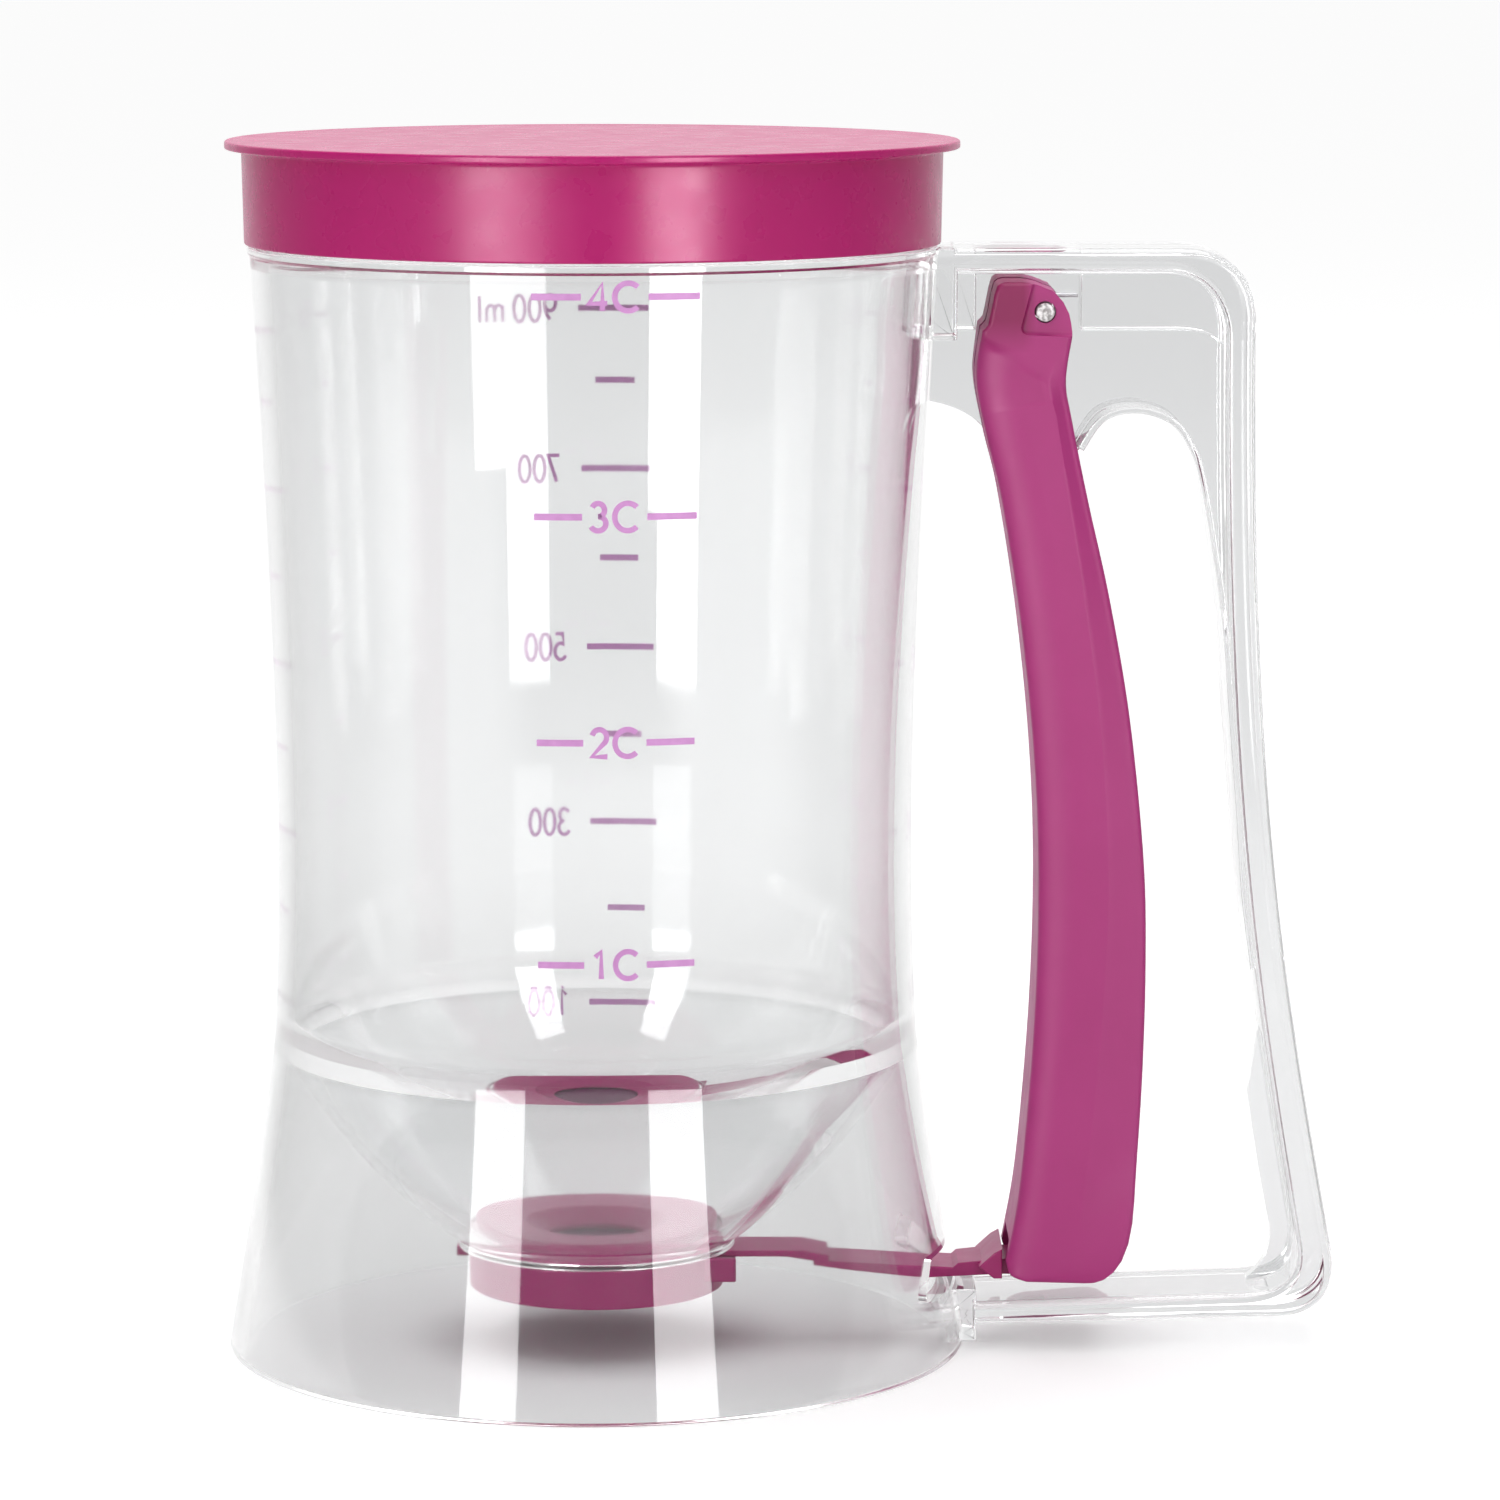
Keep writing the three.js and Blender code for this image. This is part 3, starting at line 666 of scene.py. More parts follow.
def make_jug():
    """Cup, funnel and skirt in one moulding, with the slot for the shutter's bar."""
    inner_neck = NECK_RADIUS - 1.8
    funnel_outside = bow((21.6, 16.6), (30, 22), (43.6, 36.3), (48.45, 47.5), 30)
    funnel_inside = bow((20.2, 18.4), (28.3, 23.6), (42.4, 37), (47.75, FUNNEL_TOP + 2.5), 34)[::-1]
    chain = eased([
        *JUG_OUTSIDE,
        (NECK_RADIUS, 174, 0.3), (NECK_RADIUS, 181), (NECK_RADIUS, NECK_TOP, 0.6),
        (inner_neck, NECK_TOP, 0.6), (inner_neck, 181), (inner_neck, 174.5),
        *inward(CUP_OUTSIDE, WALL, WAIST_HEIGHT, SHOULDER_HEIGHT),
        *inward(SKIRT_OUTSIDE, WALL, FUNNEL_TOP + 3.2, WAIST_HEIGHT + 1),
        *funnel_inside,
        (19.8, 18, 0.3), (19.8, 15.5, 0.3), (22, 15.5, 0.3), (22, 16.5, 0.2),
        *funnel_outside,
        *inward(SKIRT_OUTSIDE, SKIRT_WALL, 0.5, 44),
        (BASE_RADIUS - SKIRT_WALL, 0, 0.5),
    ])
    jug = turned("clear_jug", chain, clear_jug_plastic, sides=224)
    slot = eased([(-23.8, 10.3, 1.5), (23.8, 10.3, 1.5), (17.6, 16.6, 1.5), (-17.6, 16.6, 1.5)])
    cutter = slab("slot_cutter", slot, 46.4, 62, clear_jug_plastic)
    swing = Matrix.Translation((AXIS_X, 0, 0)) @ Matrix.Rotation(-math.pi / 2, 4, "Z")
    cutter.data.transform(swing @ Matrix.Translation((-AXIS_X, 0, 0)))
    return smoothed(combined(jug, [cutter], "DIFFERENCE"))


# Prints

INK_LOW = -0.03
INK_HIGH = 0.05
LETTER_GAP = 0.13
DASH_HEIGHT = 1


def sweep_of(centre, across, up, start, end, steps=16):
    """Points along part of an oval, by angles in degrees."""
    turn = [math.radians(start + (end - start) * k / steps) for k in range(steps + 1)]
    return [(centre[0] + across * math.cos(a), centre[1] + up * math.sin(a)) for a in turn]


GLYPHS = {
    "0": (0.62, [sweep_of((0.29, 0.5), 0.27, 0.5, 90, 450, 28)]),
    "1": (0.62, [[(0.12, 0.8), (0.34, 1), (0.34, 0)]]),
    "2": (0.62, [sweep_of((0.3, 0.71), 0.27, 0.29, 165, -38) + [(0.02, 0), (0.6, 0)]]),
    "3": (0.62, [
        sweep_of((0.28, 0.755), 0.23, 0.245, 155, -90), sweep_of((0.28, 0.265), 0.28, 0.265, 90, -155),
    ]),
    "4": (0.64, [[(0.45, 0), (0.45, 1), (-0.02, 0.27), (0.62, 0.27)]]),
    "5": (0.62, [[(0.53, 1), (0.17, 1), (0.09, 0.56)] + sweep_of((0.27, 0.32), 0.29, 0.32, 118, -150)]),
    "7": (0.6, [[(0.02, 1), (0.57, 1), (0.17, 0)]]),
    "9": (0.62, [
        sweep_of((0.29, 0.7), 0.27, 0.3, 0, 360, 28), sweep_of((0.05, 0.66), 0.51, 0.66, 4, -62, 10),
    ]),
    "C": (0.9, [sweep_of((0.48, 0.5), 0.47, 0.5, 46, 314, 28)]),
    "m": (0.95, [
        [(0, 0), (0, 0.64)], sweep_of((0.2, 0.42), 0.2, 0.22, 180, 0, 12) + [(0.4, 0)],
        sweep_of((0.6, 0.42), 0.2, 0.22, 180, 0, 12) + [(0.8, 0)],
    ]),
    "l": (0.3, [[(0.08, 0), (0.08, 1)]]),
    " ": (0.25, []),
}


def stroke(path, points, faces, pen):
    """Adds one closed ribbon of ink along a path of (across, up) in millimetres."""
    first = len(points)
    count = len(path)
    for i, spot in enumerate(path):
        here = Vector(spot)
        before = side_of(path[max(i - 1, 0)], path[max(i, 1)])
        side = before + (side_of(spot, path[i + 1]) if i < count - 1 else before)
        side *= pen / max(side.length_squared / 2, 0.7)
        for edge, depth in ((side, INK_LOW), (-side, INK_LOW), (-side, INK_HIGH), (side, INK_HIGH)):
            points.append((here.x + edge.x, depth, here.y + edge.y))
    for i in range(count - 1):
        a, b = first + 4 * i, first + 4 * i + 4
        for k in range(4):
            faces.append((a + k, a + (k + 1) % 4, b + (k + 1) % 4, b + k))
    faces.append((first, first + 3, first + 2, first + 1))
    end = first + 4 * (count - 1)
    faces.append((end, end + 1, end + 2, end + 3))


def lettering(name, words, side, jug, narrow=1):
    """Words as (text, left, foot, height, pen), drawn flat and wrapped on a side of the jug."""
    points, faces = [], []
    for text, left, foot, height, pen in words:
        across = height * narrow
        for letter in text:
            width, paths = GLYPHS[letter]
            for path in paths:
                stroke([(left + x * across, foot + z * height) for x, z in path], points, faces, pen)
            left += (width + LETTER_GAP) * across
    made = new_object(name, [tuple(c * MM for c in p) for p in points], faces=faces)
    return wrapped(face_outwards(made), side, jug)


def wrapped(made, side, jug):
    ink, turn = side
    with_tree(made, WRAPPING, Wall=jug, Wall_radius=PRINT_RADIUS * MM, Turn=turn, Axis_X=AXIS_X, Ink=ink)
    return settle(made)


def dashes(name, places, length, side, jug):
    """Dashes at (across, up) places, wrapped on a side of the jug."""
    depth = (INK_LOW + INK_HIGH) / 2
    made = new_object(name, [(across * MM, depth * MM, up * MM) for across, up in places])
    with_tree(
        made, DASHES, Dash_length=length * MM, Dash_height=DASH_HEIGHT * MM,
        Ink_depth=(INK_HIGH - INK_LOW) * MM, Ink=side[0],
    )
    return wrapped(made, side, jug)


# Cup marks are (digit, height); millilitre marks end in how far their dash is shifted.
CUP_MARKS = [("4", 169.5), ("3", 136.8), ("2", 102.8), ("1", 69.1)]
LONG_MARKS = [
    ("900 ml", 160.6, 2), ("700", 134.3, 2.4), ("500", 104.9, 3.2), ("300", 75.8, 3.7), ("100", 44.9, 3.4),
]
SHORT_MARKS = [(148.8, 2.3), (119.6, 3), (90.4, 3.6), (61.3, 4.1)]


def make_prints(jug):
    """The cup scale on the front and the millilitre scale on the back."""
    front, back = (front_ink, 0.0), (back_ink, math.pi)
    cap, pen = 4.1, 0.41
    words = []
    for digit, height in CUP_MARKS:
        foot = height - cap / 2
        words += [(digit, 0.75, foot, cap, pen), ("C", 4.3, foot, cap, pen)]
    small, thin = 4.3, 0.29
    amounts = [(text, 9.5 - shift, z - small / 2, small, thin) for text, z, shift in LONG_MARKS]
    long_places = [(-shift, z) for _, z, shift in LONG_MARKS]
    short_places = [(-shift, z) for z, shift in SHORT_MARKS]
    return [
        lettering("cup_scale_numbers", words, front, jug),
        dashes("cup_scale_left_dashes", [(-4, z) for _, z in CUP_MARKS], 7.1, front, jug),
        dashes("cup_scale_right_dashes", [(12.9, z) for _, z in CUP_MARKS], 7.5, front, jug),
        lettering("millilitre_numbers", amounts, back, jug, narrow=0.8),
        dashes("millilitre_long_dashes", long_places, 11.7, back, jug),
        dashes("millilitre_short_dashes", short_places, 6.6, back, jug),
    ]


# Lid

def make_lid():
    """A flat plate with a thin overhanging rim and a band that grips the neck."""
    under = 189
    chain = eased([
        (0, under), (30, under), (50.5, under), (52.35, under, 0.5), (52.35, 182), (52.35, 174.4, 0.25),
        (54.15, 174.4, 0.35), (54.25, 180), (54.4, 187), (54.45, under, 0.7), (55.6, 189.05),
        (57.05, 189.1, 0.35), (57.05, 190.35, 0.45), (56.2, 190.4), (54.8, 190.3), (50, 190.28),
        (30, 190.26), (12, 190.25), (0, 190.25),
    ], closed=False)
    return smoothed(turned("purple_lid", chain, lid_plastic, closed=False, sides=224))


# Handle frame

ARCH = [
    (102.9, 61), (101.3, 73), (100.3, 86.6), (99.2, 99.5), (97.8, 115.9), (96.1, 127.5),
    (94.1, 138.2), (92.4, 143), (89.6, 146.7), (84.5, 148.4), (79.4, 147.2), (76.1, 142.6),
]


def drawn(start, *moves):
    """An outline from lines (one point), and curves with one or two handles before the end point."""
    chain = [start]
    for move in moves:
        if len(move) == 1:
            chain.append(move[0])
        elif len(move) == 2:
            here, pull, end = chain[-1], move[0], move[1]
            out = tuple(a + (b - a) * 2 / 3 for a, b in zip(here, pull))
            into = tuple(a + (b - a) * 2 / 3 for a, b in zip(end, pull))
            chain.extend(bow(here, out, into, end, 12)[1:])
        else:
            chain.extend(bow(chain[-1], *move, 36)[1:])
    return chain


def rim_round(arch):
    """The outer edge of the rim that follows the arch."""
    last, edge = len(arch) - 1, []
    for i, (x, z) in enumerate(arch):
        side = side_of(arch[max(i - 1, 0)], arch[min(i + 1, last)])
        edge.append((x - side.x * RIM_WALL, z - side.y * RIM_WALL))
    return edge


def make_handle_frame():
    """An outer band, a web with a rim round the palm space, stiffeners and the pads on the jug."""
    plastic = clear_frame_plastic
    band = drawn(
        (ROOT_X, FRAME_TOP), [(91, FRAME_TOP)],
        [(97.5, FRAME_TOP), (102.6, 170.5), (102.6, 163)], [(102.6, 85), (109.5, 53), (115.8, 18)],
        [(FRAME_OUT + 1.3, 9.5), (114.5, 5.4), (107, 5.3)], [(ROOT_X, 3.9)], [(ROOT_X, 7.2)], [(103, 9.2)],
        [(109, 9.6), (111.3, 12), (110.6, 17)], [(104.6, 52), (97.8, 86), (97.8, 160)],
        [(97.8, 166), (94.5, 170), (89, 170)], [(ROOT_X, 170)],
    )
    arch = gliding(ARCH, 72)
    web = drawn(
        (ROOT_X, 172), [(95, 172)], [(100.2, 171), (100.2, 163)],
        [(100.2, 85.5), (107, 52.5), (113.2, 17.5)], [(114, 8), (107, 7)], [(104, 7)], [(103.4, 9.9)],
        [(107.6, 13), (107.1, 18)], [(105, 28), (103.3, 40)], [(105, 51)], [(104.9, 60)],
        *[[spot] for spot in arch],
        [(74, 139.6), (70.5, 139.6)], [(66, 139.8), (61.2, 145.1)], [(57.5, 150.2), (ROOT_X, 150.3)],
    )
    right_stiffener = drawn(
        (75.8, 171), [(95, 171)], [(100, 165)], [(100, 157.5)], [(98.2, 157.5)],
        [(97.3, 160.2), (95, 161), (90, 161)], [(75.8, 161)],
    )
    below, above = -5, 180
    (foot_radius, foot, *_), *wall = JUG_OUTSIDE
    clearance = turned("jug_clearance", [
        (0, below), (foot_radius + FRAME_GAP, foot + below), *[(p[0] + FRAME_GAP, p[1]) for p in wall],
        (54, above), (0, above),
    ], plastic, closed=False)
    # Half widths across the frame
    web_half, rim_half, stiffener_half, pad_half, boss_half, hole_half = 1.25, 9.3, 4.5, 9.9, 2.4, 12
    made = slab("clear_handle_frame", band, -FRAME_HALF_WIDTH, FRAME_HALF_WIDTH, plastic, 1.5, steps=4)
    combined(made, [
        slab("web", web, -web_half, web_half, plastic),
        slab("rim", arch + rim_round(arch)[::-1], -rim_half, rim_half, plastic, 0.35, steps=2),
        block("stiffener_left", (ROOT_X, -stiffener_half, 161), (59.5, stiffener_half, 171), plastic, 0.3),
        slab("stiffener_right", right_stiffener, -stiffener_half, stiffener_half, plastic, 0.3, steps=2),
        block("top_pad", (ROOT_X, -pad_half, 159.8), (56.4, pad_half, 173.9), plastic, 0.4),
        block("foot_pad", (ROOT_X, -pad_half, 1.6), (60.2, pad_half, 9.9), plastic, 0.4),
        rod("boss", 2.45, -boss_half, boss_half, PIVOT_X, PIVOT_Z, plastic),
    ], "UNION")
    pin_hole = rod("pin_hole", PIN_RADIUS + FRAME_GAP, -hole_half, hole_half, PIVOT_X, PIVOT_Z, plastic)
    combined(made, [pin_hole, clearance], "DIFFERENCE")
    return smoothed(made)


# Squeeze lever

def smooth_step(value):
    value = min(max(value, 0), 1)
    return value * value * (3 - 2 * value)


def lever_stations():
    """Pairs of front and back points down the lever, with how far the section shrinks there."""
    head = [
        ((63.2, 168.9), (66.9, 168.9), 0.8), ((62.75, 168.7), (67.6, 168.75), 0.3),
        ((62.4, 168.3), (68.6, 168.5), 0), ((61.95, 166.8), (71.2, 167.5), 0),
        ((61.65, 165.2), (72.7, 165.8), 0), ((61.35, 163.7), (73.6, 164), 0),
        ((61.05, 162.3), (73.9, 162.6), 0), ((60.6, 161.75), (74, 161.9), 0),
        ((60.25, 161.45), (74.1, 161.1), 0),
    ]
    front, back = gliding(LEVER_FRONT, 180), gliding(LEVER_BACK, 180)
    body = [(a, b, 0) for i, (a, b) in enumerate(zip(front, back)) if i <= 40 or i % 2 == 0]
    foot = [
        ((65.0, 13.5), (84.6, 20.8), 0), ((65.2, 12.95), (84, 17.6), 0), ((65.5, 12.4), (83, 14.9), 0),
        ((65.95, 12.1), (81.8, 13.1), 0.1), ((66.6, 11.8), (80.4, 11.9), 0.35),
        ((67.4, 11.5), (79, 11.3), 0.8), ((68.4, 11.3), (77.8, 11.05), 1.6),
    ]
    return head + body + foot


# Height, and the crease's share of the way from front to back
CREASE = [
    (163, 0.97), (153.3, 0.8), (147.2, 0.83), (118, 0.73), (99, 0.7), (69.8, 0.655), (38.4, 0.6),
    (24, 0.575), (11, 0.56),
]


def crease_share(height):
    """Where the soft crease runs at a height."""
    for (high, above), (low, below) in zip(CREASE, CREASE[1:]):
        if height >= low:
            share = min(max((height - low) / (high - low), 0), 1)
            return below + (above - below) * share
    return CREASE[-1][1]


def lever_section(front, back, shrink):
    """Half of the section, from the middle of the front face round to the middle of the back."""
    start, end = Vector(front), Vector(back)
    length = (end - start).length
    along = (end - start) / length
    height = (start.y + end.y) / 2
    half = LEVER_HALF_WIDTH
    # The front edges are tight on the head, and round over the body.
    head_foot, lever_foot = 160.6, 11
    tight, wide, body_drop, foot_drop = 0.8, 7.5, 3.0, 1.2
    body = smooth_step((head_foot - height) / 3)
    low_end = smooth_step((height - lever_foot) / 9)
    ease = tight + (min(wide, length * 0.48) - tight) * body
    drop = tight + (body_drop * low_end + foot_drop * (1 - low_end) - tight) * body
    crease = crease_share(height) * length
    ease = min(ease, crease - 0.6)
    # Behind the crease the sides draw in.
    full_taper, back_ease = 1.35, 0.9
    taper = full_taper * smooth_step((158 - height) / 10) * smooth_step((height - 16) / 10)
    side = [(0, (half - drop) * k / 5) for k in range(5)]
    for k in range(11):
        angle = math.pi / 2 * k / 10
        side.append((ease * (1 - math.cos(angle)), half - drop * (1 - math.sin(angle))))
    side += [(ease + (crease - ease) * k / 14, half) for k in range(1, 15)]
    rest = length - back_ease - crease
    side += [(crease + rest * k / 6, half - taper * k / 6) for k in range(1, 7)]
    reach = half - taper - back_ease
    for k in range(1, 6):
        angle = math.pi / 2 * k / 5
        side.append((length - back_ease * (1 - math.sin(angle)), reach + back_ease * math.cos(angle)))
    side += [(length, reach * k / 4) for k in (3, 2, 1, 0)]
    made = []
    for d, y in side:
        spot = start + along * d
        if height > 150 and y > 6:
            # Under the head's slanting edge the sides step in a little near the front.
            edge_x, edge_z, slant, step = 61.2, 159.3, 0.652, 0.22
            over = spot.y - (edge_z - (spot.x - edge_x) * slant)
            below = smooth_step(0.5 - over / 0.9) * smooth_step((crease - d) / 2 + 0.2)
            y -= step * below * smooth_step((height - 148) / 4)
        shift = shrink / 2 * (1 if d < length / 2 else -1) * (0 if min(d, length - d) > shrink else 1)
        made.append((spot.x + along.x * shift, min(y, half - shrink), spot.y + along.y * shift))
    return made


def make_lever():
    """The lever's skin is lofted down its length, then hollowed as the moulding is."""
    rings = []
    for front, back, shrink in lever_stations():
        half = lever_section(front, back, shrink)
        rings.append([(x, -y, z) for x, y, z in half] + [(x, y, z) for x, y, z in half[-2:0:-1]])
    plastic = lever_plastic
    lever = skinned("squeeze_lever", rings, plastic)
    front_wall = [(x + 2.2, z) for x, z in gliding(LEVER_FRONT, 90)[:-2]]
    channel = [(95, 167.1), (64.6, 167.1), (63.3, 162.3), *front_wall, (67.2, 13.2), (95, 13.2)]
    recess = drawn(
        (68.3, 169.6), [(67.7, 168.0)], [(66.2, 162.2)], [(66, 160.9), (67.3, 160.8)], [(76, 160.4)],
        [(76, 169.6)],
    )
    recess_floor, beyond = LEVER_HALF_WIDTH - 0.9, LEVER_HALF_WIDTH + 1
    combined(lever, [
        slab("channel", channel, -9.9, 9.9, plastic, 0.6),
        block("web_slot", (50, -1.65, 136), (95, 1.65, 170), plastic),
        block("notch", (50, -6.9, 10), (71.4, 6.9, 17.2), plastic),
        slab("near_recess", recess, -beyond, -recess_floor, plastic, 0.7, steps=5),
        slab("far_recess", recess, recess_floor, beyond, plastic, 0.7, steps=5),
        rod("pin_hole", PIN_RADIUS + LEVER_GAP, -beyond, beyond, PIVOT_X, PIVOT_Z, plastic),
    ], "DIFFERENCE")
    return smoothed(lever, 38)


def make_pin():
    """A steel rod whose sheared ends are slightly domed."""
    end, flank, centre = 12.25, 12.4, 12.42
    chain = eased([
        (0, -centre), (0.7, -flank), (PIN_RADIUS, -end, 0.3), (PIN_RADIUS, end, 0.3), (0.7, flank),
        (0, centre),
    ], closed=False)
    pin = turned("pivot_pin_rod", chain, pin_steel, closed=False, sides=48)
    home = Matrix.Translation((-AXIS_X, 0, 0))
    pivot = Matrix.Translation((AXIS_X + PIVOT_X * MM, 0, PIVOT_Z * MM))
    pin.data.transform(pivot @ Matrix.Rotation(math.pi / 2, 4, "X") @ home)
    return smoothed(pin)


# Return spring

def make_spring():
    """A leg under the handle frame, the coil round the pin, and a leg on the lever."""
    coil, pitch, turns, start_y, steps = 2.1, 1.15, 4.2, -3.3, 120
    short_leg, long_leg = 5.4, 13.4
    first, last = math.pi / 2, math.pi / 2 + 2 * math.pi * turns
    path = [(PIVOT_X + short_leg * (1 - k / 6), start_y, PIVOT_Z + coil) for k in range(6)]
    for i in range(steps + 1):
        angle = first + (last - first) * i / steps
        path.append((
            PIVOT_X + coil * math.cos(angle), start_y - pitch * (angle - first) / (2 * math.pi),
            PIVOT_Z + coil * math.sin(angle),
        ))
    end = Vector(path[-1])
    along = Vector((-math.sin(last), 0, math.cos(last)))
    path += [tuple(end + along * long_leg * k / 6) for k in range(1, 7)]
    spring = line_object("return_spring_wire", [(AXIS_X + x * MM, y * MM, z * MM) for x, y, z in path])
    with_tree(spring, WINDING, Wire_radius=0.35 * MM, Sides=12, Steel=spring_steel)
    return smoothed(face_outwards(settle(spring)))


# Valve

def make_valve_seat():
    chain = eased([
        (8, 15.8, 0.2), (19.5, 15.8, 0.25), (19.5, 20.2, 0.7), (16, 19.95), (11.3, 19.4, 0.5),
        (8, 16.6, 0.2),
    ])
    return smoothed(turned("valve_seat_ring", chain, valve_plastic, sides=128))


def tongue(half_width, shoulder_x, end_x, end_half_width):
    """Plan of the blade, or of the way it slides in."""
    return [
        *sweep_of((0, 0), half_width, half_width, 90, 270, 36), (shoulder_x, -half_width),
        (end_x, -end_half_width), (end_x, end_half_width), (shoulder_x, half_width),
    ]


def make_valve_cup():
    chain = eased([
        (8, 15.2), (8, 9.8, 0.3), (9.6, 9.8, 0.3), (9.6, 12, 0.3), (18.3, 12, 0.3), (18.3, 9, 0.2),
        (20.2, 9, 0.5), (20.2, 15.2, 0.25),
    ])
    cup = turned("valve_cup_shell", chain, valve_plastic, sides=128)
    combined(cup, [
        block("guide_box", (15, -10.6, 11.3), (22.1, 10.6, 15.15), valve_plastic, 0.3),
        block("catch_lug", (-22.2, -1.6, 13.6), (-19.4, 1.6, 15.15), valve_plastic, 0.2),
    ], "UNION")
    runway = slab("runway", tongue(9.7, 20, 30, 9.7), 13.9, 20, valve_plastic, lying=True)
    return smoothed(combined(cup, [runway], "DIFFERENCE"))


def make_shutter():
    """Blade, strap, bar, collar and hook in one moulding."""
    strap = [
        (17, 15.2), (32.7, 15.2), (36.8, 14.4), (36.8, 13.5), (56.6, 12.4), (57.4, 13.1), (64, 13.8),
        (68.5, 13.8), (68.5, 11.3), (64, 11.3), (52, 10.7), (40.3, 12), (34.4, 12.8), (34.4, 13.5),
        (30, 14.2), (17, 14.2),
    ]
    collar = [(60.6, 13), (63, 15.2), (64.3, 15.9), (64.3, 11.1), (63, 11.1)]
    hook = [(67.9, 14.8), (67.9, 17.6), (69.2, 17.6), (69.7, 16.8), (69.7, 14.8)]
    plastic = shutter_plastic
    strap_half, collar_half, hook_half = 5.2, 7.6, 9.2
    blade = tongue(9.4, 13.5, 19, strap_half)
    shutter = slab("shutter_blade_and_strap", blade, 14.2, 15.2, plastic, 0.2, lying=True)
    combined(shutter, [
        slab("strap", strap, -strap_half, strap_half, plastic, 0.25),
        slab("collar", collar, -collar_half, collar_half, plastic, 0.25),
        slab("hook", hook, -hook_half, hook_half, plastic, 0.25),
        block("hook_root", (67.9, -strap_half, 11.3), (69.7, strap_half, 15.2), plastic, 0.2),
    ], "UNION")
    return smoothed(shutter)


# Putting it together

def fitted(made, body, *nodes, slot=None):
    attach(made, body)
    if nodes:
        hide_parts(*nodes)
    return made


jug = make_jug()
for mark in make_prints(jug):
    fitted(mark, "body")
fitted(jug, "body", "jug", slot="clear_plastic")
fitted(make_handle_frame(), "body", "handle_frame", slot="clear_plastic")
fitted(make_lid(), "lid", "lid", slot="purple_plastic")
fitted(make_lever(), "trigger", "trigger_lever", slot="purple_plastic")
fitted(make_pin(), "trigger", "pivot_pin", slot="steel")
fitted(make_valve_seat(), "body", "valve_seat", slot="purple_plastic")
fitted(make_valve_cup(), "body", "valve_cup", slot="purple_plastic")
fitted(make_shutter(), "shutter", "shutter_slide", slot="purple_plastic")
spring = make_spring()
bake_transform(spring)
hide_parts("return_spring")


# Floor, lamps, world and camera

def make_floor():
    """A white floor that keeps the soft shadow inside and round the jug; inside the skirt's foot and under
    the valve its glow is held back, a painted shadow. What the jug mirrors of it is darker in front,
    beyond the lamps, and to the sides."""
    reach = 14
    corners = [(x * reach, y * reach, 0) for x, y in ((-1, -1), (1, -1), (1, 1), (-1, 1))]
    floor = new_object("white_floor", corners, faces=[(0, 1, 2, 3)])
    finish, wires, surface = new_finish("white_floor_finish")
    wires.tree.nodes.remove(surface)
    rays = wires.rays()
    (_, y, _), radius = about_axis(wires)
    # Painted shadow: the glow fades out under the valve and is lowered inside the skirt's foot.
    level = wires.times(wires.ramp(radius, 0.1, 1.6, 0.29, 0.64), wires.sum(
        "MAXIMUM", wires.ramp(radius, 0.0565, 0.0585, 0, 1), wires.ramp(radius, 0.019, 0.034, 0, 0.5),
    ))
    shown = wires.below(rays["Diffuse Depth"], 0.5)
    glow = wires.add("ShaderNodeEmission", {"Strength": wires.times(level, shown)})
    matt = wires.add("ShaderNodeBsdfDiffuse", {"Color": (0.86, 0.86, 0.86, 1)})
    both = wires.add("ShaderNodeAddShader", {0: matt, 1: glow})
    ahead = wires.sum("DIVIDE", y, radius)
    front = wires.times(wires.ramp(ahead, -0.93, -0.8, 1, 0), wires.ramp(radius, 0.5, 0.66, 0, 0.7))
    aside = wires.times(wires.ramp(ahead, -0.35, 0, 0, 0.45), wires.times(
        wires.ramp(ahead, 0.6, 0.95, 1, 0), wires.ramp(radius, 0.12, 0.3, 0, 1),
    ))
    shade = wires.times(wires.sum("ADD", front, aside), wires.above(rays["Glossy Depth"], 0.5))
    painted_shade = wires.add("ShaderNodeEmission", {"Strength": 0})
    wires.show(wires.add("ShaderNodeMixShader", {0: shade, 1: both, 2: painted_shade}))
    floor.data.materials.append(finish)


def show_in_far_wall(lamp):
    """Leaves the lamp bright only for rays that the far wall has mirrored back through the near one."""
    lamp.use_nodes = True
    wires = Wiring(lamp.node_tree)
    rays = wires.rays()
    crossed = wires.above(rays["Transmission Depth"], 2.5)
    wires.coat(lamp.node_tree.nodes["Emission"], Strength=wires.times(crossed, mirrored_once(wires, rays)))


def area_lamp(name, width, height, level, place):
    """A soft lamp that the camera doesn't see."""
    lamp = bpy.data.lights.new(name, "AREA")
    lamp.shape = "RECTANGLE"
    lamp.size, lamp.size_y = width, height
    lamp.energy = 4 * lamp.size * lamp.size_y * level
    made = in_scene(name, lamp)
    made.location = place
    made.visible_camera = False
    return made


def softbox(name, azimuths, away, foot, top, level, use, swing=0, spread=180):
    """A tall soft lamp facing the jug, between two azimuths that run from the camera's side to the right.
    It only lights the surfaces, only shines in the jug, or only shines in its far wall."""
    turn = math.radians(sum(azimuths) / 2)
    width = 2 * away * math.tan(math.radians(azimuths[1] - azimuths[0]) / 2)
    place = (AXIS_X + away * math.sin(turn), -away * math.cos(turn), (foot + top) / 2)
    made = area_lamp(name, width, top - foot, level, place)
    made.rotation_euler = (math.pi / 2, 0, turn + math.radians(swing))
    made.data.spread = math.radians(spread)
    made.visible_diffuse = use == "light"
    made.visible_glossy = use != "light"
    made.visible_transmission = use == "far wall"
    if use == "far wall":
        show_in_far_wall(made.data)


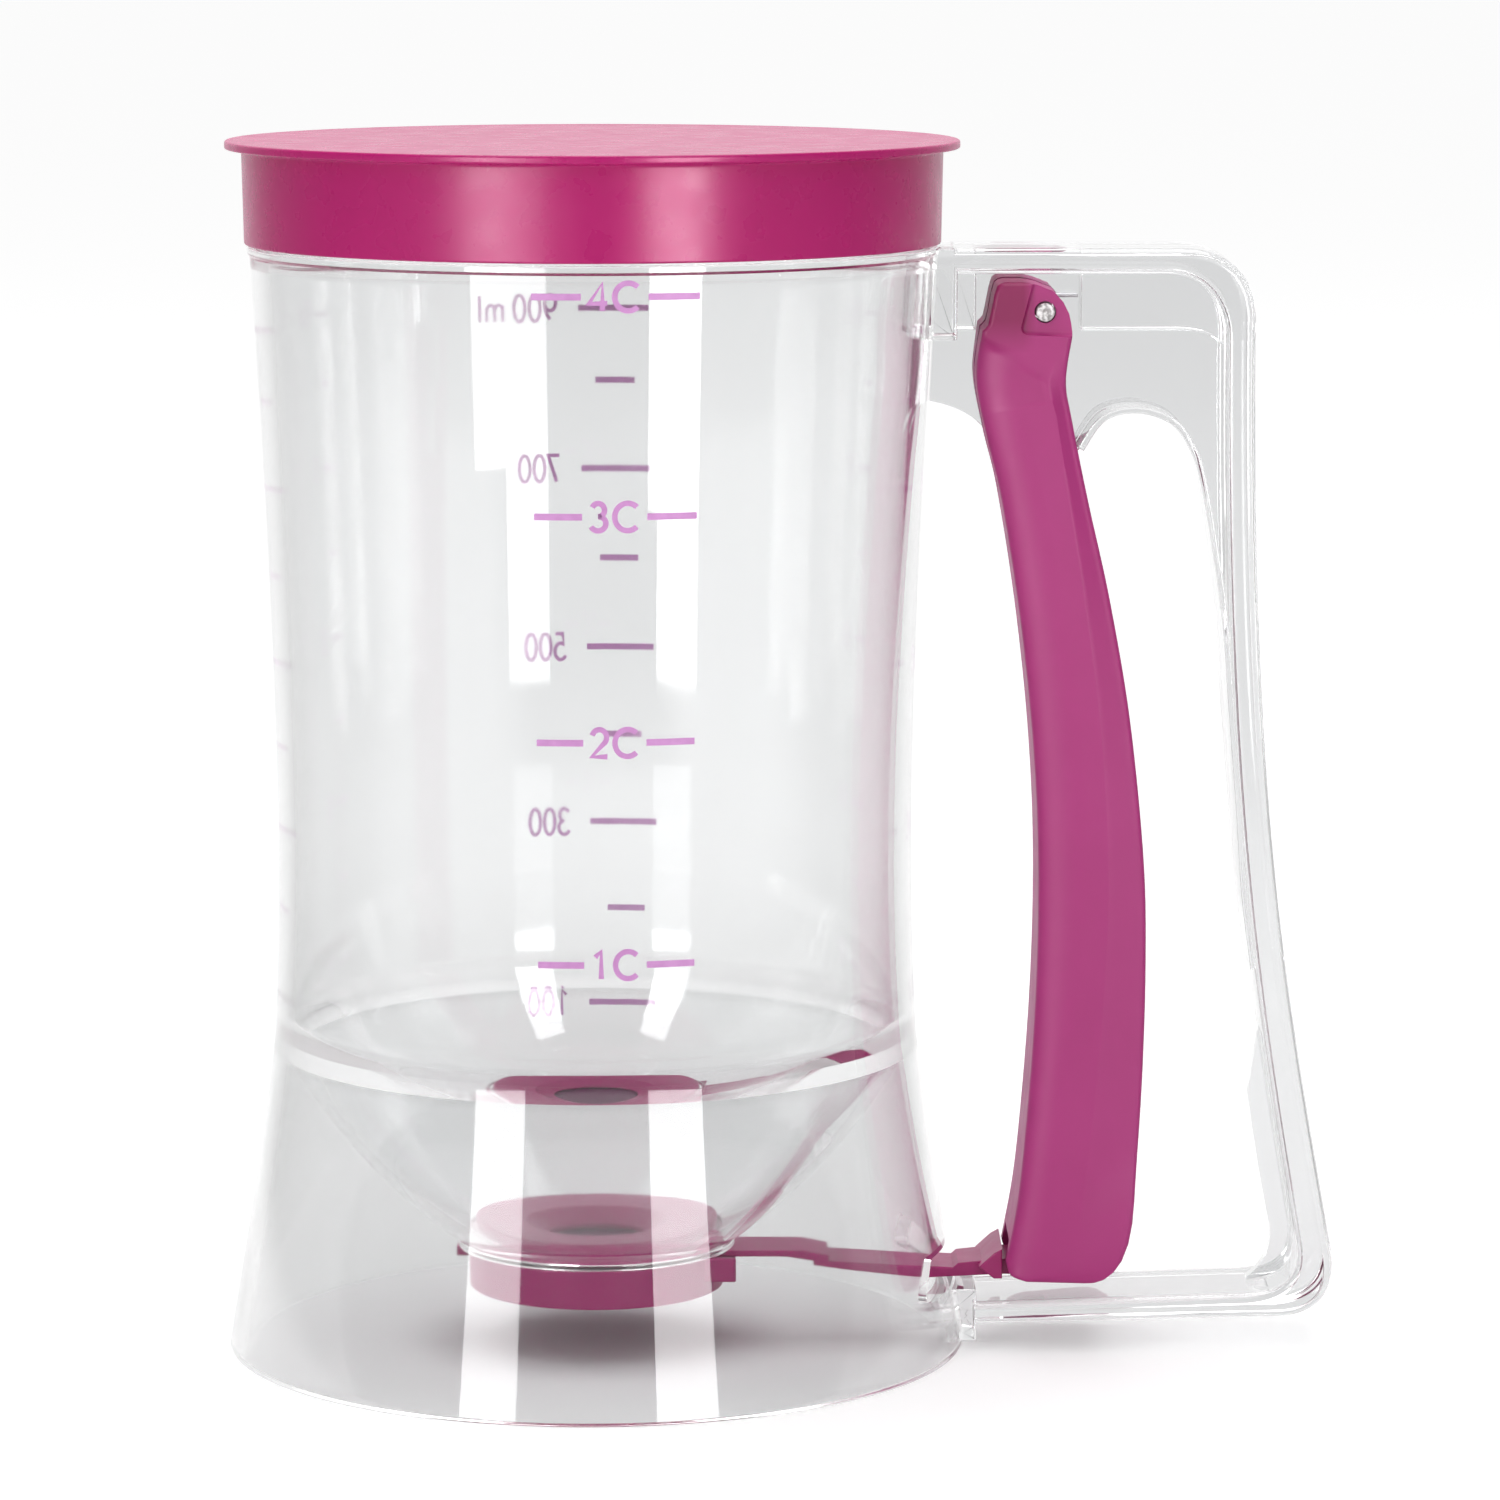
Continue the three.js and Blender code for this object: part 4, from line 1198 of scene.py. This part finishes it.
def make_world():
    """White to look at, darker towards the camera in reflections, and a plain level for light."""
    world = bpy.data.worlds.new("studio")
    world.use_nodes = True
    bpy.context.scene.world = world
    wires = Wiring(world.node_tree)
    rays = wires.rays()
    ahead = wires.parts(wires.place("Generated"))["Y"]
    shine = wires.add("ShaderNodeMix", {
        0: mirrored_once(wires, rays), 2: 1.0, 3: wires.ramp(ahead, 0, 0.95, 0.3, 1),
    })
    level = wires.add("ShaderNodeMix", {0: wires.above(rays["Diffuse Depth"], 0.5), 2: shine, 3: 0.35})
    wires.coat(world.node_tree.nodes["Background"], Color=(1, 1, 1, 1), Strength=level)


def make_camera():
    lens = bpy.data.cameras.new("photo_camera")
    lens.lens = CAMERA_LENS
    lens.sensor_width = 36
    lens.clip_start = 0.01
    lens.clip_end = 100
    camera = in_scene("photo_camera", lens)
    camera.location = CAMERA_PLACE
    camera.rotation_euler = (math.pi / 2 - CAMERA_PITCH, 0, 0)
    bpy.context.scene.camera = camera


LEFT_WALL, RIGHT_WALL = (-48.3, -28.7), (23.5, 43.4)
# Name, azimuths, distance, foot, top, level, use, and then swing and spread in degrees
LAMPS = [
    ("left_light", (-37, -19), 0.4, 0, 0.8, 1.4, "light"),
    ("right_light", (22, 35), 0.4, 0, 0.8, 1.4, "light"),
    ("left_strip", (-25.6, -12.6), 0.27, 0.068, 0.26, 4.5, "shine"),
    ("left_strip_side", (-35.7, -25.6), 0.27, 0.102, 0.26, 4.5, "shine"),
    ("right_strip", (21.1, 34.1), 0.27, 0.068, 0.26, 0.85, "shine", 4, 48),
    ("right_strip_side", (18.2, 21.1), 0.27, 0.095, 0.26, 0.85, "shine", 8, 48),
    ("left_skirt_strip", (-40.1, -22.7), 1.2, 0.02, 0.6, 6.5, "shine"),
    ("right_skirt_strip", (19.2, 37.8), 1.2, 0.02, 0.6, 6.5, "shine"),
    ("left_far_wall_strip", LEFT_WALL, 0.075, 0.018, 0.0265, 9, "far wall"),
    ("right_far_wall_strip", RIGHT_WALL, 0.075, 0.018, 0.0265, 9, "far wall"),
    ("left_far_wall_glow", LEFT_WALL, 0.075, 0.0265, 0.07, 1.5, "far wall"),
    ("right_far_wall_glow", RIGHT_WALL, 0.075, 0.0265, 0.07, 1, "far wall"),
    ("left_funnel_strip", (-43, -26.5), 0.27, 0.2, 0.43, 9, "far wall"),
    ("right_funnel_strip", (21.4, 39.4), 0.27, 0.2, 0.44, 9, "far wall"),
]

make_floor()
for lamp in LAMPS:
    softbox(*lamp)
area_lamp("overhead_softbox", 1.0, 1.0, 2.45, (AXIS_X, 0.1, 1.2))
make_world()
make_camera()
bpy.context.scene.view_settings.view_transform = "Standard"
